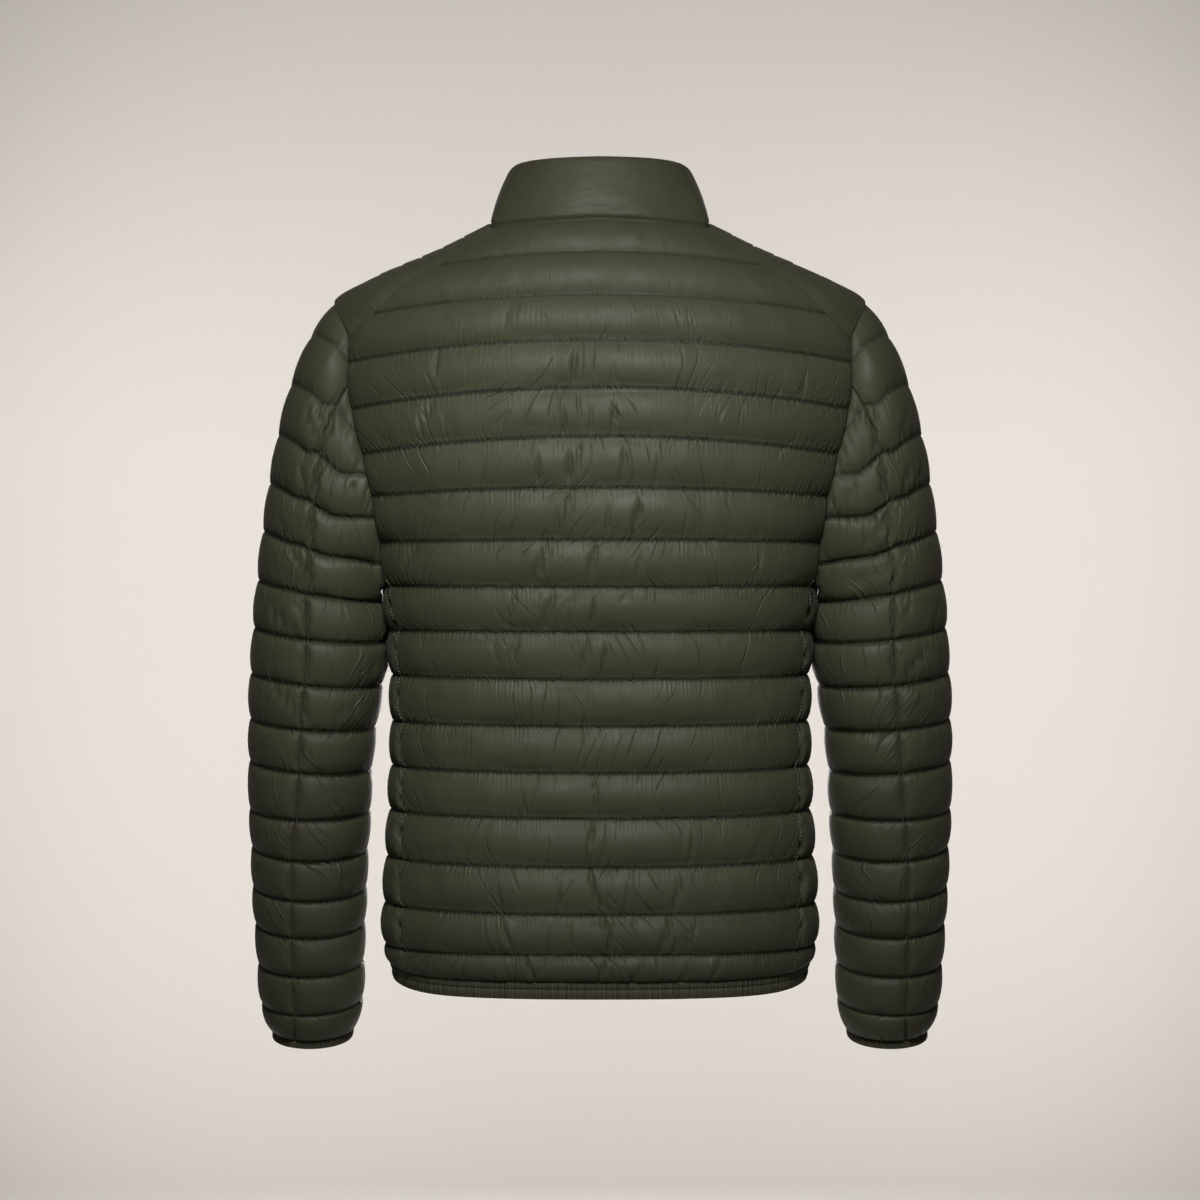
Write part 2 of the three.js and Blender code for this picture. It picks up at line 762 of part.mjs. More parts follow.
// Triangles between one row and the next, taking the shorter crossing each time
function strip(upper, lower) {
  const triangles = [];
  let i = 0;
  let j = 0;
  while (i < upper.length - 1 || j < lower.length - 1) {
    const canUpper = i < upper.length - 1;
    const canLower = j < lower.length - 1;
    const viaUpper = canUpper ? upper[i + 1].p.distanceTo(lower[j].p) : Infinity;
    const viaLower = canLower ? upper[i].p.distanceTo(lower[j + 1].p) : Infinity;
    if (viaUpper <= viaLower) {
      triangles.push([upper[i], upper[i + 1], lower[j]]);
      i += 1;
    } else {
      triangles.push([upper[i], lower[j + 1], lower[j]]);
      j += 1;
    }
  }
  return triangles;
}

function surface(...stacks) {
  return stacks.flatMap(rows => rows.slice(1).flatMap(
    (lower, i) => strip(rows[i].below, lower.above),
  ));
}

// A surface made into a wall: an outer skin, an inner skin and sides along every open edge
function wall(name, triangles, material) {
  const number = new Map();
  triangles.flat().forEach(v => {
    if (!number.has(v)) number.set(v, number.size);
  });
  const vertices = [...number.keys()];
  const outwardArea = triangles.reduce((total, [a, b, c]) => {
    const normal = b.p.clone().sub(a.p).cross(c.p.clone().sub(a.p));
    return total + normal.dot(a.m.clone().add(b.m).add(c.m));
  }, 0);
  const facing = outwardArea > 0 ? triangles : triangles.map(([a, b, c]) => [a, c, b]);
  const edges = new Map();
  facing.forEach(([a, b, c]) => {
    [[a, b], [b, c], [c, a]].forEach(([from, to]) => {
      edges.set(`${number.get(from)},${number.get(to)}`, [from, to]);
    });
  });
  const open = [...edges.values()].filter(
    ([from, to]) => !edges.has(`${number.get(to)},${number.get(from)}`),
  );
  const insets = new Map();
  open.forEach(([from, to]) => {
    [from, to].forEach(v => {
      const inward = v.m.clone().cross(to.p.clone().sub(from.p)).normalize();
      insets.set(v, [...(insets.get(v) ?? []), inward]);
    });
  });
  const moved = v => {
    const sides = insets.get(v);
    if (!sides) return v.p.clone();
    const sum = sides.reduce((total, s) => total.add(s), new THREE.Vector3());
    const turn = sides.length === 2 ? Math.max(0.3, 1 + sides[0].dot(sides[1])) : 2;
    return v.p.clone().addScaledVector(sum, SEAM_GAP / 2 / turn);
  };
  const count = vertices.length;
  const positions = [];
  const bases = vertices.map(moved);
  vertices.forEach((v, i) => {
    positions.push(...bases[i].clone().addScaledVector(v.m, v.lift).toArray());
  });
  vertices.forEach((v, i) => {
    positions.push(...bases[i].clone().addScaledVector(v.m, -v.wall).toArray());
  });
  const index = [];
  facing.forEach(([a, b, c]) => {
    const [i, j, k] = [number.get(a), number.get(b), number.get(c)];
    index.push(i, j, k, i + count, k + count, j + count);
  });
  open.forEach(([from, to]) => {
    const [i, j] = [number.get(from), number.get(to)];
    if (from.p.z > to.p.z) {
      index.push(i, i + count, j, j, i + count, j + count);
    } else {
      index.push(i, i + count, j + count, i, j + count, j);
    }
  });
  const geometry = new THREE.BufferGeometry();
  geometry.setAttribute('position', new THREE.Float32BufferAttribute(positions, 3));
  geometry.setIndex(index);
  return mesh(name, geometry, material);
}

function mesh(name, geometry, material) {
  geometry.computeVertexNormals();
  const part = new THREE.Mesh(geometry, material);
  part.name = name;
  return part;
}

function mirrorTriangles(triangles) {
  const copies = new Map();
  const copy = v => {
    if (!copies.has(v)) copies.set(v, mirrored(v));
    return copies.get(v);
  };
  return triangles.map(points => points.map(copy));
}

// A closed outline carried through a list of frames, with flat ends
function sweep(name, outline, frames, material) {
  const positions = frames.flatMap(
    place => outline.flatMap(([across, out]) => place(across, out).toArray()),
  );
  const size = outline.length;
  const index = [];
  for (let ring = 0; ring < frames.length - 1; ring += 1) {
    for (let i = 0; i < size; i += 1) {
      const a = ring * size + i;
      const b = ring * size + (i + 1) % size;
      index.push(a, a + size, b, b, a + size, b + size);
    }
  }
  const shape = outline.map(([x, y]) => new THREE.Vector2(x, y));
  const faces = THREE.ShapeUtils.triangulateShape(shape, []);
  const lastRing = (frames.length - 1) * size;
  faces.forEach(([a, b, c]) => {
    index.push(a, b, c, lastRing + a, lastRing + c, lastRing + b);
  });
  const geometry = new THREE.BufferGeometry();
  geometry.setAttribute('position', new THREE.Float32BufferAttribute(positions, 3));
  geometry.setIndex(index);
  return outwardMesh(name, geometry, material);
}

// The same mesh with its triangles turned, if they face in
function outwardMesh(name, geometry, material) {
  const p = geometry.getAttribute('position');
  const index = geometry.getIndex();
  const corner = i => new THREE.Vector3().fromBufferAttribute(p, index.getX(i));
  let volume = 0;
  for (let i = 0; i < index.count; i += 3) {
    volume += corner(i).dot(corner(i + 1).cross(corner(i + 2)));
  }
  if (volume < 0) {
    for (let i = 0; i < index.count; i += 3) {
      const second = index.getX(i + 1);
      index.setX(i + 1, index.getX(i + 2));
      index.setX(i + 2, second);
    }
  }
  return mesh(name, geometry, material);
}

const nylon = new THREE.MeshStandardMaterial({ color: 0x3b3e30, roughness: 0.55, metalness: 0 });
const ribbed = new THREE.MeshStandardMaterial({ color: 0x34372b, roughness: 0.7, metalness: 0 });
const tape = new THREE.MeshStandardMaterial({ color: 0x2b2d25, roughness: 0.8, metalness: 0 });
const metal = new THREE.MeshStandardMaterial({ color: 0x2e302c, roughness: 0.4, metalness: 0.8 });

const jacket = new THREE.Group();
jacket.name = 'puffer_jacket';

const frontTriangles = surface(frontRows());
const topTriangles = surface(
  SLEEVE_LINES.map(sleeveTopRow),
);
const underTriangles = surface(...sleeveUnderStrips());

jacket.add(wall('back', surface(BODY_LINES.map(backRow)), nylon));
jacket.add(wall('front_left', frontTriangles, nylon));
jacket.add(wall('front_right', mirrorTriangles(frontTriangles), nylon));
jacket.add(wall('collar', surface(collarRows()), nylon));
jacket.add(wall('sleeve_top_left', topTriangles, nylon));
jacket.add(wall('sleeve_top_right', mirrorTriangles(topTriangles), nylon));
jacket.add(wall('sleeve_under_left', underTriangles, nylon));
jacket.add(wall('sleeve_under_right', mirrorTriangles(underTriangles), nylon));

// Bands round the hem and the cuffs

function bandRows(top, drop, shrink) {
  const thick = top.map(v => ({ ...v, wall: BAND_WALL, lift: 0 }));
  const bottom = thick.map((v, i) => vertex(
    drop(v, i).addScaledVector(v.m, -shrink),
    v.m,
    0,
    BAND_WALL,
  ));
  return [row(thick), row(bottom)];
}

function hemBand() {
  const left = frontBodyRow(LAST_LINE).above.map(v => ({ ...v }));
  const back = backRow(LAST_LINE).above.slice(1, -1).map(v => ({ ...v }));
  const right = left.map(mirrored).reverse();
  const top = [...left, ...back, ...right];
  const fall = BAND_BOTTOM - BAND_TOP;
  const rows = bandRows(top, v => v.p.clone().setZ(v.p.z + fall), 1.5);
  return wall('hem_band', surface(rows), ribbed);
}

function cuffTriangles() {
  const top = sleeveTopRow(LAST_LINE).above;
  const under = sleeveUnderRow(LAST_LINE).above;
  const ring = [...top, ...under.slice(1, -1)];
  const [upper, lower] = bandRows(
    ring,
    v => v.p.clone().addScaledVector(SLEEVE_AXIS, CUFF_BAND),
    0,
  );
  const closed = points => row([...points, points[0]]);
  return surface([closed(upper.above), closed(lower.above)]);
}

const cuff = cuffTriangles();
jacket.add(hemBand());
jacket.add(wall('cuff_band_left', cuff, ribbed));
jacket.add(wall('cuff_band_right', mirrorTriangles(cuff), ribbed));

// Zip, from the bottom of the hem band to the top of the collar

const ZIP_HEIGHTS = [
  BAND_BOTTOM + ZIP.box.height + SEAM_GAP,
  ...BODY_LINES.filter(line => line >= 3 && line < LAST_LINE && !isPuff(line))
    .map(lineHeight).reverse(),
  NECK_CORNER_Z - 8,
];
const ZIP_PATH = [
  ...ZIP_HEIGHTS.map(z => ({ point: new THREE.Vector3(0, -frontDepth(z), z), wall: BAND_WALL })),
  ...[0, 0.15, 0.4, 0.7, 0.97].map(height => ({
    point: collarPoint(-90, height).setX(0),
    wall: ZIP.collarDepth,
  })),
];

function tapeFrames(sign) {
  return ZIP_PATH.map(({ point, wall: thick }, i) => {
    const before = ZIP_PATH[Math.max(0, i - 1)].point;
    const after = ZIP_PATH[Math.min(ZIP_PATH.length - 1, i + 1)].point;
    const along = after.clone().sub(before).normalize();
    const out = new THREE.Vector3(0, -along.z, along.y).normalize();
    return (across, rise) => point.clone()
      .addScaledVector(out, rise - thick - ZIP.behind)
      .add(new THREE.Vector3(sign * across, 0, 0));
  });
}

function zipTape(name, sign) {
  const outline = [
    [ZIP.halfGap, -ZIP.tapeWall],
    [ZIP.tapeWidth, -ZIP.tapeWall],
    [ZIP.tapeWidth, 0],
    [ZIP.halfGap + ZIP.beadWidth, 0],
    [ZIP.halfGap + ZIP.beadWidth, ZIP.beadRise],
    [ZIP.halfGap, ZIP.beadRise],
  ];
  return sweep(name, outline, tapeFrames(sign), tape);
}

jacket.add(zipTape('zip_tape_left', 1));
jacket.add(zipTape('zip_tape_right', -1));

// Hard pieces of the zip, made in a frame with X across, Y inwards and Z up along the zip

function block([left, right], [inner, outer], [bottom, top]) {
  const size = [right - left, outer - inner, top - bottom];
  return Manifold.cube(size).translate([left, -outer, bottom]);
}

function solidGeometry(solid) {
  const { numProp, vertProperties, triVerts } = solid.getMesh();
  const geometry = new THREE.BufferGeometry();
  const positions = new THREE.InterleavedBuffer(vertProperties, numProp);
  geometry.setAttribute('position', new THREE.InterleavedBufferAttribute(positions, 3, 0));
  geometry.setIndex([...triVerts]);
  return geometry;
}

function alongZip(low, high) {
  const up = high.clone().sub(low).normalize();
  const across = new THREE.Vector3(1, 0, 0);
  return new THREE.Matrix4().makeBasis(across, up.clone().cross(across), up);
}

const collarEdge = collarPoint(-90, 1).setX(0);
const zipTop = alongZip(collarPoint(-90, 0.5).setX(0), collarEdge);
const upward = new THREE.Vector3().setFromMatrixColumn(zipTop, 2);
zipTop.setPosition(collarEdge.clone().addScaledVector(upward, -SLIDER.belowTop));

function sliderSolid() {
  const half = SLIDER.width / 2;
  const tall = [-SLIDER.height / 2, SLIDER.height / 2];
  const face = -SLIDER.plate;
  const sides = [-1, 1].map(sign => {
    const x = [sign * half, sign * (half - SLIDER.flange)].sort((a, b) => a - b);
    return block(x, [face - SLIDER.flangeDepth, face], tall);
  });
  const middle = [-BRIDGE.width / 2, BRIDGE.width / 2];
  const end = BRIDGE.height / 2;
  const legs = [-1, 1].map(sign => {
    const z = [sign * end, sign * (end - BRIDGE.leg)].sort((a, b) => a - b);
    return block(middle, [face, BRIDGE.rise], z);
  });
  const bar = block(middle, [BRIDGE.rise - BRIDGE.bar, BRIDGE.rise], [-end, end]);
  return Manifold.union([block([-half, half], [face, 0], tall), ...sides, ...legs, bar]);
}

function pullSolid() {
  const half = PULL.width / 2;
  const thick = [PULL.hinge - PULL.wall / 2, PULL.hinge + PULL.wall / 2];
  const top = PULL.wall / 2;
  const eye = block([-PULL.gap, PULL.gap], thick.map((v, i) => v + (i ? 1 : -1)), [-PULL.arms, -top]);
  const foot = Manifold.cylinder(PULL.wall, half, half, 24)
    .rotate([90, 0, 0])
    .translate([0, -thick[0], half - PULL.length]);
  return block([-half, half], thick, [half - PULL.length, top]).subtract(eye).add(foot);
}

const sliderGeometry = solidGeometry(sliderSolid());
sliderGeometry.applyMatrix4(zipTop);
jacket.add(mesh('zip_slider', sliderGeometry, metal));
const pullGeometry = solidGeometry(pullSolid());
pullGeometry.applyMatrix4(zipTop);
jacket.add(mesh('zip_pull', pullGeometry, metal));

const boxFront = frontDepth(BAND_BOTTOM);
const boxSolid = block(
  [-ZIP.box.width / 2, ZIP.box.width / 2],
  [boxFront - ZIP.box.depth, boxFront],
  [BAND_BOTTOM, BAND_BOTTOM + ZIP.box.height],
);
jacket.add(mesh('zip_box', solidGeometry(boxSolid), metal));

export default jacket;
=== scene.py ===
import math

import bpy
import numpy as np
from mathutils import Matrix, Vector


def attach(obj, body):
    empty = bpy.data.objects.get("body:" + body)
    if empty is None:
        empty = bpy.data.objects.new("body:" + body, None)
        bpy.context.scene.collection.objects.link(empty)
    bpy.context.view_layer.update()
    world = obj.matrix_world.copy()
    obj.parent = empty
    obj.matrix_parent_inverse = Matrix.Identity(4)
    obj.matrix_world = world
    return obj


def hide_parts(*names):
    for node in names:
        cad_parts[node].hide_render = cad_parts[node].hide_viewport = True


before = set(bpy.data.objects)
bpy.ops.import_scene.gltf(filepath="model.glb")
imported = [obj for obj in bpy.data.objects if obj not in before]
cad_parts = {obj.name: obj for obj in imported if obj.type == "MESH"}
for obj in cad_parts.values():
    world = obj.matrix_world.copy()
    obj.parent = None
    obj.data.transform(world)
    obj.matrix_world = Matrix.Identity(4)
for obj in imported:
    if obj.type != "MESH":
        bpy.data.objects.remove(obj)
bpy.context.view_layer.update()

bl_info = {
    "name": "Puffer Jacket",
    "version": (1, 0, 0),
    "blender": (4, 5, 0),
    "location": "3D View > Sidebar > Jacket",
    "description": "Makes the quilted panels, collar, bands and zip of a puffer jacket",
    "category": "Add Mesh",
}

# The form is measured in millimetres, as the pattern is; pieces are made in metres
MM = 0.001
# The smallest difference that counts, in millimetres or lines
TINY = 1e-6

# Form of the body: level sections by height, as half width and depths behind and in front
BODY = [
    (0, 88, 70, 2, 2.0), (-15, 118, 84, 27, 2.0), (-29, 146, 92, 42, 2.0),
    (-42, 176, 98, 52, 2.0), (-56, 207, 104, 62, 2.0), (-70, 231.5, 109, 70, 2.0),
    (-85, 242, 113, 77, 2.0), (-110, 246, 118.5, 93, 2.03), (-150, 243, 124, 111, 2.1),
    (-200, 232, 127.5, 123, 2.2), (-250, 217, 127.5, 128, 2.26), (-300, 199, 125, 127, 2.34),
    (-341, 190.5, 120.5, 124, 2.4), (-400, 186, 114, 118, 2.4), (-460, 185.5, 111, 114.5, 2.4),
    (-520, 187, 113, 115.5, 2.4), (-580, 190.5, 117, 118, 2.4), (-630, 192.5, 120, 120, 2.4),
    (-655, 190.5, 119.5, 119, 2.4), (-671, 186, 116, 115, 2.4), (-686, 184, 114, 113.5, 2.4),
]
# Stitch lines across the body: height at the middle and rise 200 mm to the side
LINES = [
    (0, -6, -22), (1, -36, -20), (2, -74.4, -14), (3, -115, -12), (4, -156.6, -12),
    (5, -199, -11), (6, -243, -5), (7, -288, -1), (8, -328.8, 1.5), (9, -367.7, 1),
    (10, -409, 3), (11, -450, 3), (12, -490.5, 4), (13, -530, 4), (14, -571.8, 4),
    (15, -612.5, 3), (16, -647, -2), (17, -671, 0),
]
NECK_SEAM = [
    (-90, -85), (-79, -75), (-72, -60), (-62.6, -40), (-45, -20), (-22, -8), (0, -4), (16, -6),
    (32, -11), (50, -9.5), (70, -7.5), (90, -6),
]
SHOULDER_SEAM = [(0, 94), (0.5, 117), (1, 143), (1.5, 175), (2, 200), (2.5, 222)]
ARMHOLE_BACK = [
    (-70, 233), (-80, 229.5), (-90, 226.5), (-111, 222), (-150, 222), (-190, 214.5),
    (-234, 203.5), (-270, 197), (-318, 190),
]
ARMHOLE_FRONT = [
    (-70, 233), (-80, 229), (-90, 225.5), (-110, 219), (-150, 209), (-190, 200.5),
    (-230, 194.5), (-270, 192.5), (-318, 193),
]
SIDE_SEAM = [
    (-318, 190), (-367, 179.5), (-406, 178), (-450, 175.5), (-490, 174.3), (-530, 174),
    (-610, 175.5), (-650, 172), (-671, 170),
]
# Rows over the front of the shoulder: angle on the neck, side of the armhole and its height
SHOULDER_ROWS = [(-88.8, -1, -95), (-72, -1, -80), (-52, 0, -70), (-24, 1, -76), (4, 1, -92)]
# Rings of the sleeve by line: centre, half width, fall to the inside and fall to the back
SLEEVE = [
    (6, 252.5, -8, -331, 54.5, 0.18, 5), (7, 253.5, -12, -370, 57.5, 0.107, 6),
    (8, 256.5, -16, -410, 57.5, 0.1, 6.5), (9, 260, -21, -450, 55.5, 0.08, 6.5),
    (10, 262.5, -26, -488, 54, 0.085, 7.5), (11, 263.8, -34, -529, 53.5, 0.03, 9),
    (12, 264.7, -42, -564, 51.5, 0.047, 12), (13, 265.5, -50, -600, 50.5, 0.035, 13),
    (14, 265.8, -58, -634, 48.7, 0.02, 13.5), (15, 265.8, -67, -671, 47.1, 0, 13),
    (16, 265.5, -76, -707, 45.4, -0.02, 13), (17, 265, -83, -735.5, 36.6, 0, 11),
]
HIND_SEAM = [(1.5, 74), (4, 79), (6, 82), (8, 84.5), (10, 84), (12, 77), (16, 74), (17, 68)]
# The armhole round the sleeve: piece and place on the body, angle and line on the sleeve
ARMHOLE = [
    ("back", 3.5, 74, 1.5), ("back", 4, 84, 1.75), ("back", 4.5, 94, 2), ("back", 5, 103, 2.5),
    ("back", 5.5, 112, 3), ("back", 6, 122, 3.5), ("back", 6.5, 132, 4), ("back", 7, 142, 4.5),
    ("back", 7.5, 153, 5), ("back", 7.75, 160, 5.25), ("under", 0.25, 168, 5.45),
    ("under", 0.5, 179, 5.5), ("under", 0.75, 190, 5.45), ("front", 7.75, 200, 5.25),
    ("front", 7.5, 208, 5), ("front", 7, 221, 4.5), ("front", 6.5, 235, 4),
    ("front", 6, 246, 3.5), ("front", 5.5, 257, 3), ("front", 5, 267, 2.5),
    ("front", 4.5, 277, 2), ("front", 4, 287, 1.75), ("front", 3.5, 297, 1.5),
    ("front", 3, 308, 1), ("front", 2.5, 319, 0.75), ("shoulder", 0, 330, 0.5),
    ("shoulder", 1, 345, 0.25), ("shoulder", 2, 360, 0), ("shoulder", 3, 375, 0.25),
    ("shoulder", 4, 389, 0.5), ("back", 2.5, 402, 0.75), ("back", 3, 418, 1),
]
CAP_LEAVES = [
    (0, 0.8, 0, -0.6), (42, 0.72, 0.3, -0.62), (74, 0.62, 0.35, -0.7), (103, 0.45, 0.35, -0.82),
    (132, 0.35, 0.2, -0.92), (160, 0.3, 0.05, -0.95), (200, 0.3, -0.1, -0.95),
    (235, 0.4, -0.3, -0.87), (267, 0.5, -0.4, -0.77), (297, 0.62, -0.38, -0.68),
    (330, 0.74, -0.2, -0.64), (360, 0.8, 0, -0.6),
]
COLLAR_TOP = [
    (-90, -18), (-79, -13), (-62, 6), (-45, 25), (-22, 42), (0, 49), (30, 52), (90, 53),
]
# Where pieces begin and end: lines, angles in degrees, and places and widths in mm
CROWN_Z = -70
NECK_CORNER_ANGLE = 32
UNDERARM_LINE = 7.75
UNDERARM_FRONT_ANGLE = -8
SHOULDER_END_LINE = 2.5
LAST_LINE = 17
FOREARM_ANGLE = 235
CAP_END = 6
FRONT_EDGE = 5
BAND_END = 3.4
DROOP_SIDE = 200
NECK_REACH = 0.5
COLLAR_START, COLLAR_STRAIGHT = -88.8, -80
BAND_TOP = -671
BAND_BOTTOM = -686
CUFF_BAND = 7.5
HEM_RISE = {"height": 8, "from": 15.75, "over": 1.25, "edge": 186, "power": 10}
SLEEVE_DEPTH = 1.04
SLEEVE_CLEARANCE = 9.5
CAP_FULLNESS = {"leaving": 0.72, "arriving": 1, "easing": 0.45}
SLEEVE_AXIS = np.array([0.103, -0.07, -0.99]) / np.linalg.norm([0.103, -0.07, -0.99])
COLLAR_FORM = {"half": 77, "back": 65, "front": 65, "middle_y": -3, "bulge": 2.5}

# Rows of the cloth within one channel, closest together at the stitch line
CHANNEL_ROWS = (0, 0.045, 0.12, 0.24, 0.39, 0.54, 0.69, 0.83, 0.945)
# Columns of the cloth across each piece, and how far its lining lies under its form
COLUMNS = {"back": 318, "front": 92, "side": 28, "sleeve_top": 118, "sleeve_under": 92}
LINING = {"body": 2, "sleeve": 1.8, "hem": 2.6, "cuff": 2.2}
# Height of the filling in mm: round the side, facing out, and what the underarm adds
PUFF = {"back": (2.8, 5.6, 1.2), "front": (2.8, 5.0, 1.2), "sleeve": (1.2, 3.9, 2.6)}
YOKE_PUFF = 2.0
YOKE_END = 3
# Lines at the middle of the underarm, on the body and on the sleeve
UNDERARM_MIDDLE = {"body": 8.9, "sleeve": 6.5}
# Edges of a piece that turn more sharply than this many degrees stay sharp
SHARP_EDGE = 65
SIDES = (("left", 1), ("right", -1))
# Every piece has wrinkles of its own, the same in each run
SEEDS = {
    "back": 11, "front_left": 21, "front_right": 22, "sleeve_left": 31, "sleeve_right": 32,
    "collar": 5, "hem": 9, "cuff_left": 41, "cuff_right": 42,
}


def smooth_curve(rows, column=1, key=0):
    """A curve through a table's rows that never overshoots them."""
    rows = sorted(rows, key=lambda row: row[key])
    x = np.array([row[key] for row in rows], float)
    y = np.array([row[column] for row in rows], float)
    steps = np.diff(y) / np.diff(x)
    slopes = np.concatenate([steps[:1], np.zeros(len(x) - 2), steps[-1:]])
    product = steps[:-1] * steps[1:]
    total = steps[:-1] + steps[1:]
    same_way = product > 0
    slopes[1:-1][same_way] = 2 * product[same_way] / total[same_way]

    def at(value):
        value = np.clip(value, x[0], x[-1])
        i = np.clip(np.searchsorted(x, value, side="right") - 1, 0, len(x) - 2)
        width = x[i + 1] - x[i]
        t = (value - x[i]) / width
        rise = y[i + 1] - y[i]
        bend = slopes[i] * width * t * (1 - t) ** 2 - slopes[i + 1] * width * t * t * (1 - t)
        return y[i] + rise * t * t * (3 - 2 * t) + bend

    return at


side, back_depth, front_depth, power = (smooth_curve(BODY, i) for i in range(1, 5))
line_height, line_droop = smooth_curve(LINES, 1), smooth_curve(LINES, 2)
neck_height = smooth_curve(NECK_SEAM)
collar_top = smooth_curve(COLLAR_TOP)
shoulder_seam = smooth_curve(SHOULDER_SEAM)
armhole_back = smooth_curve(ARMHOLE_BACK)
armhole_front = smooth_curve(ARMHOLE_FRONT)
side_seam = smooth_curve(SIDE_SEAM)
hind_angle = smooth_curve(HIND_SEAM)


def on_body(angle, z):
    """Angle 0 is the left side, 90 the middle of the back and -90 the middle of the front."""
    angle, z = np.broadcast_arrays(np.asarray(angle, float), np.asarray(z, float))
    c, s = np.cos(np.radians(angle)), np.sin(np.radians(angle))
    exponent = 2 / power(z)
    depth = np.where(s >= 0, back_depth(z), front_depth(z))
    return np.stack(
        [
            side(z) * np.sign(c) * np.abs(c) ** exponent,
            depth * np.sign(s) * np.abs(s) ** exponent,
            z,
        ],
        axis=-1,
    )


def body_angle(x, z, facing=1):
    """Angle of a place on the body that faces back, 1, or front, -1."""
    share = np.clip(np.abs(x) / side(z), 0, 1)
    angle = np.degrees(np.arccos(share ** (power(z) / 2)))
    return facing * np.where(np.asarray(x) >= 0, angle, 180 - angle)


def hem_rise(line, x):
    """How much the lowest lines rise toward the side of the body."""
    share = np.clip((line - HEM_RISE["from"]) / HEM_RISE["over"], 0, 1)
    return HEM_RISE["height"] * share * (np.abs(x) / HEM_RISE["edge"]) ** HEM_RISE["power"]


def line_at(line, x):
    return line_height(line) + line_droop(line) * (x / DROOP_SIDE) ** 2 + hem_rise(line, x)


def meeting(line, seam):
    """The place where a quilting line, or a height between two, meets a seam."""
    x = seam(line_height(line))
    for _ in range(12):
        x = seam(line_at(line, x))
    return x, line_at(line, x)


def back_edge(line):
    """Half width and height of the back's edge: shoulder seam, armhole, then side seam."""
    line = np.asarray(line, float)
    shoulder_x = shoulder_seam(line)
    arm_x, arm_z = meeting(line, armhole_back)
    low_x, low_z = meeting(line, side_seam)
    on_shoulder = line <= SHOULDER_END_LINE
    on_arm = line <= UNDERARM_LINE
    x = np.where(on_shoulder, shoulder_x, np.where(on_arm, arm_x, low_x))
    z = np.where(on_shoulder, line_at(line, shoulder_x), np.where(on_arm, arm_z, low_z))
    return x, z


def front_arm_edge(line):
    """Angle and height of the front armhole, then of the end of the underarm."""
    line = np.asarray(line, float)
    x, z = meeting(line, armhole_front)
    angle = np.where(line >= UNDERARM_LINE, UNDERARM_FRONT_ANGLE, body_angle(x, z, -1))
    low_z = line_at(line, side(line_height(line)))
    return angle, np.where(line >= UNDERARM_LINE, low_z, z)


def armhole_point(on, at):
    """A place on the armhole, by the piece that it lies on and its line or share there."""
    if on == "back":
        x, z = back_edge(at)
        return on_body(body_angle(x, z), z)
    if on == "front":
        return on_body(*front_arm_edge(at))
    if on == "under":
        x, z = back_edge(UNDERARM_LINE)
        start = float(body_angle(x, z))
        angle = start + (UNDERARM_FRONT_ANGLE - start) * at
        return on_body(angle, line_at(UNDERARM_LINE, side(z)))
    _, arm_side, arm_z = SHOULDER_ROWS[at]
    if arm_side == 0:
        return on_body(0, CROWN_Z)
    x = armhole_back(arm_z) if arm_side > 0 else armhole_front(arm_z)
    return on_body(body_angle(x, arm_z, arm_side), arm_z)


def armhole_curves():
    """Line on the sleeve and x, y, z of the armhole, by angle round the sleeve."""
    turns = []
    for turn in (-360, 0, 360):
        for on, at, angle, line in ARMHOLE:
            if -160 <= angle + turn <= 560:
                turns.append((angle + turn, line, *armhole_point(on, at)))
    return [smooth_curve(turns, column) for column in range(1, 5)]


armhole_line, *armhole_xyz = armhole_curves()
cap_leaves = [smooth_curve(CAP_LEAVES, column) for column in (1, 2, 3)]
sleeve_x, sleeve_y, sleeve_z, sleeve_half, sleeve_roll, sleeve_pitch = (
    smooth_curve(SLEEVE, column) for column in range(1, 7)
)


def clear_of_body(point, clearance):
    """The point, or one further out where the body would be closer than the clearance."""
    x, y, z = np.moveaxis(point, -1, 0)
    depth = np.where(y >= 0, back_depth(z), front_depth(z))
    n = power(z)
    share = np.clip(1 - (np.abs(y) / depth) ** n, 0, 1)
    limit = side(z) * share ** (1 / n) + clearance
    return np.stack([np.maximum(x, limit), y, z], axis=-1)


def sleeve_ring(angle, line):
    """A place on the sleeve below its cap."""
    dx = sleeve_half(line) * np.cos(np.radians(angle))
    dy = sleeve_half(line) * SLEEVE_DEPTH * np.sin(np.radians(angle))
    z = sleeve_z(line) + sleeve_roll(line) * dx - np.tan(np.radians(sleeve_pitch(line))) * dy
    point = np.stack([sleeve_x(line) + dx, sleeve_y(line) + dy, z], axis=-1)
    return clear_of_body(point, SLEEVE_CLEARANCE)


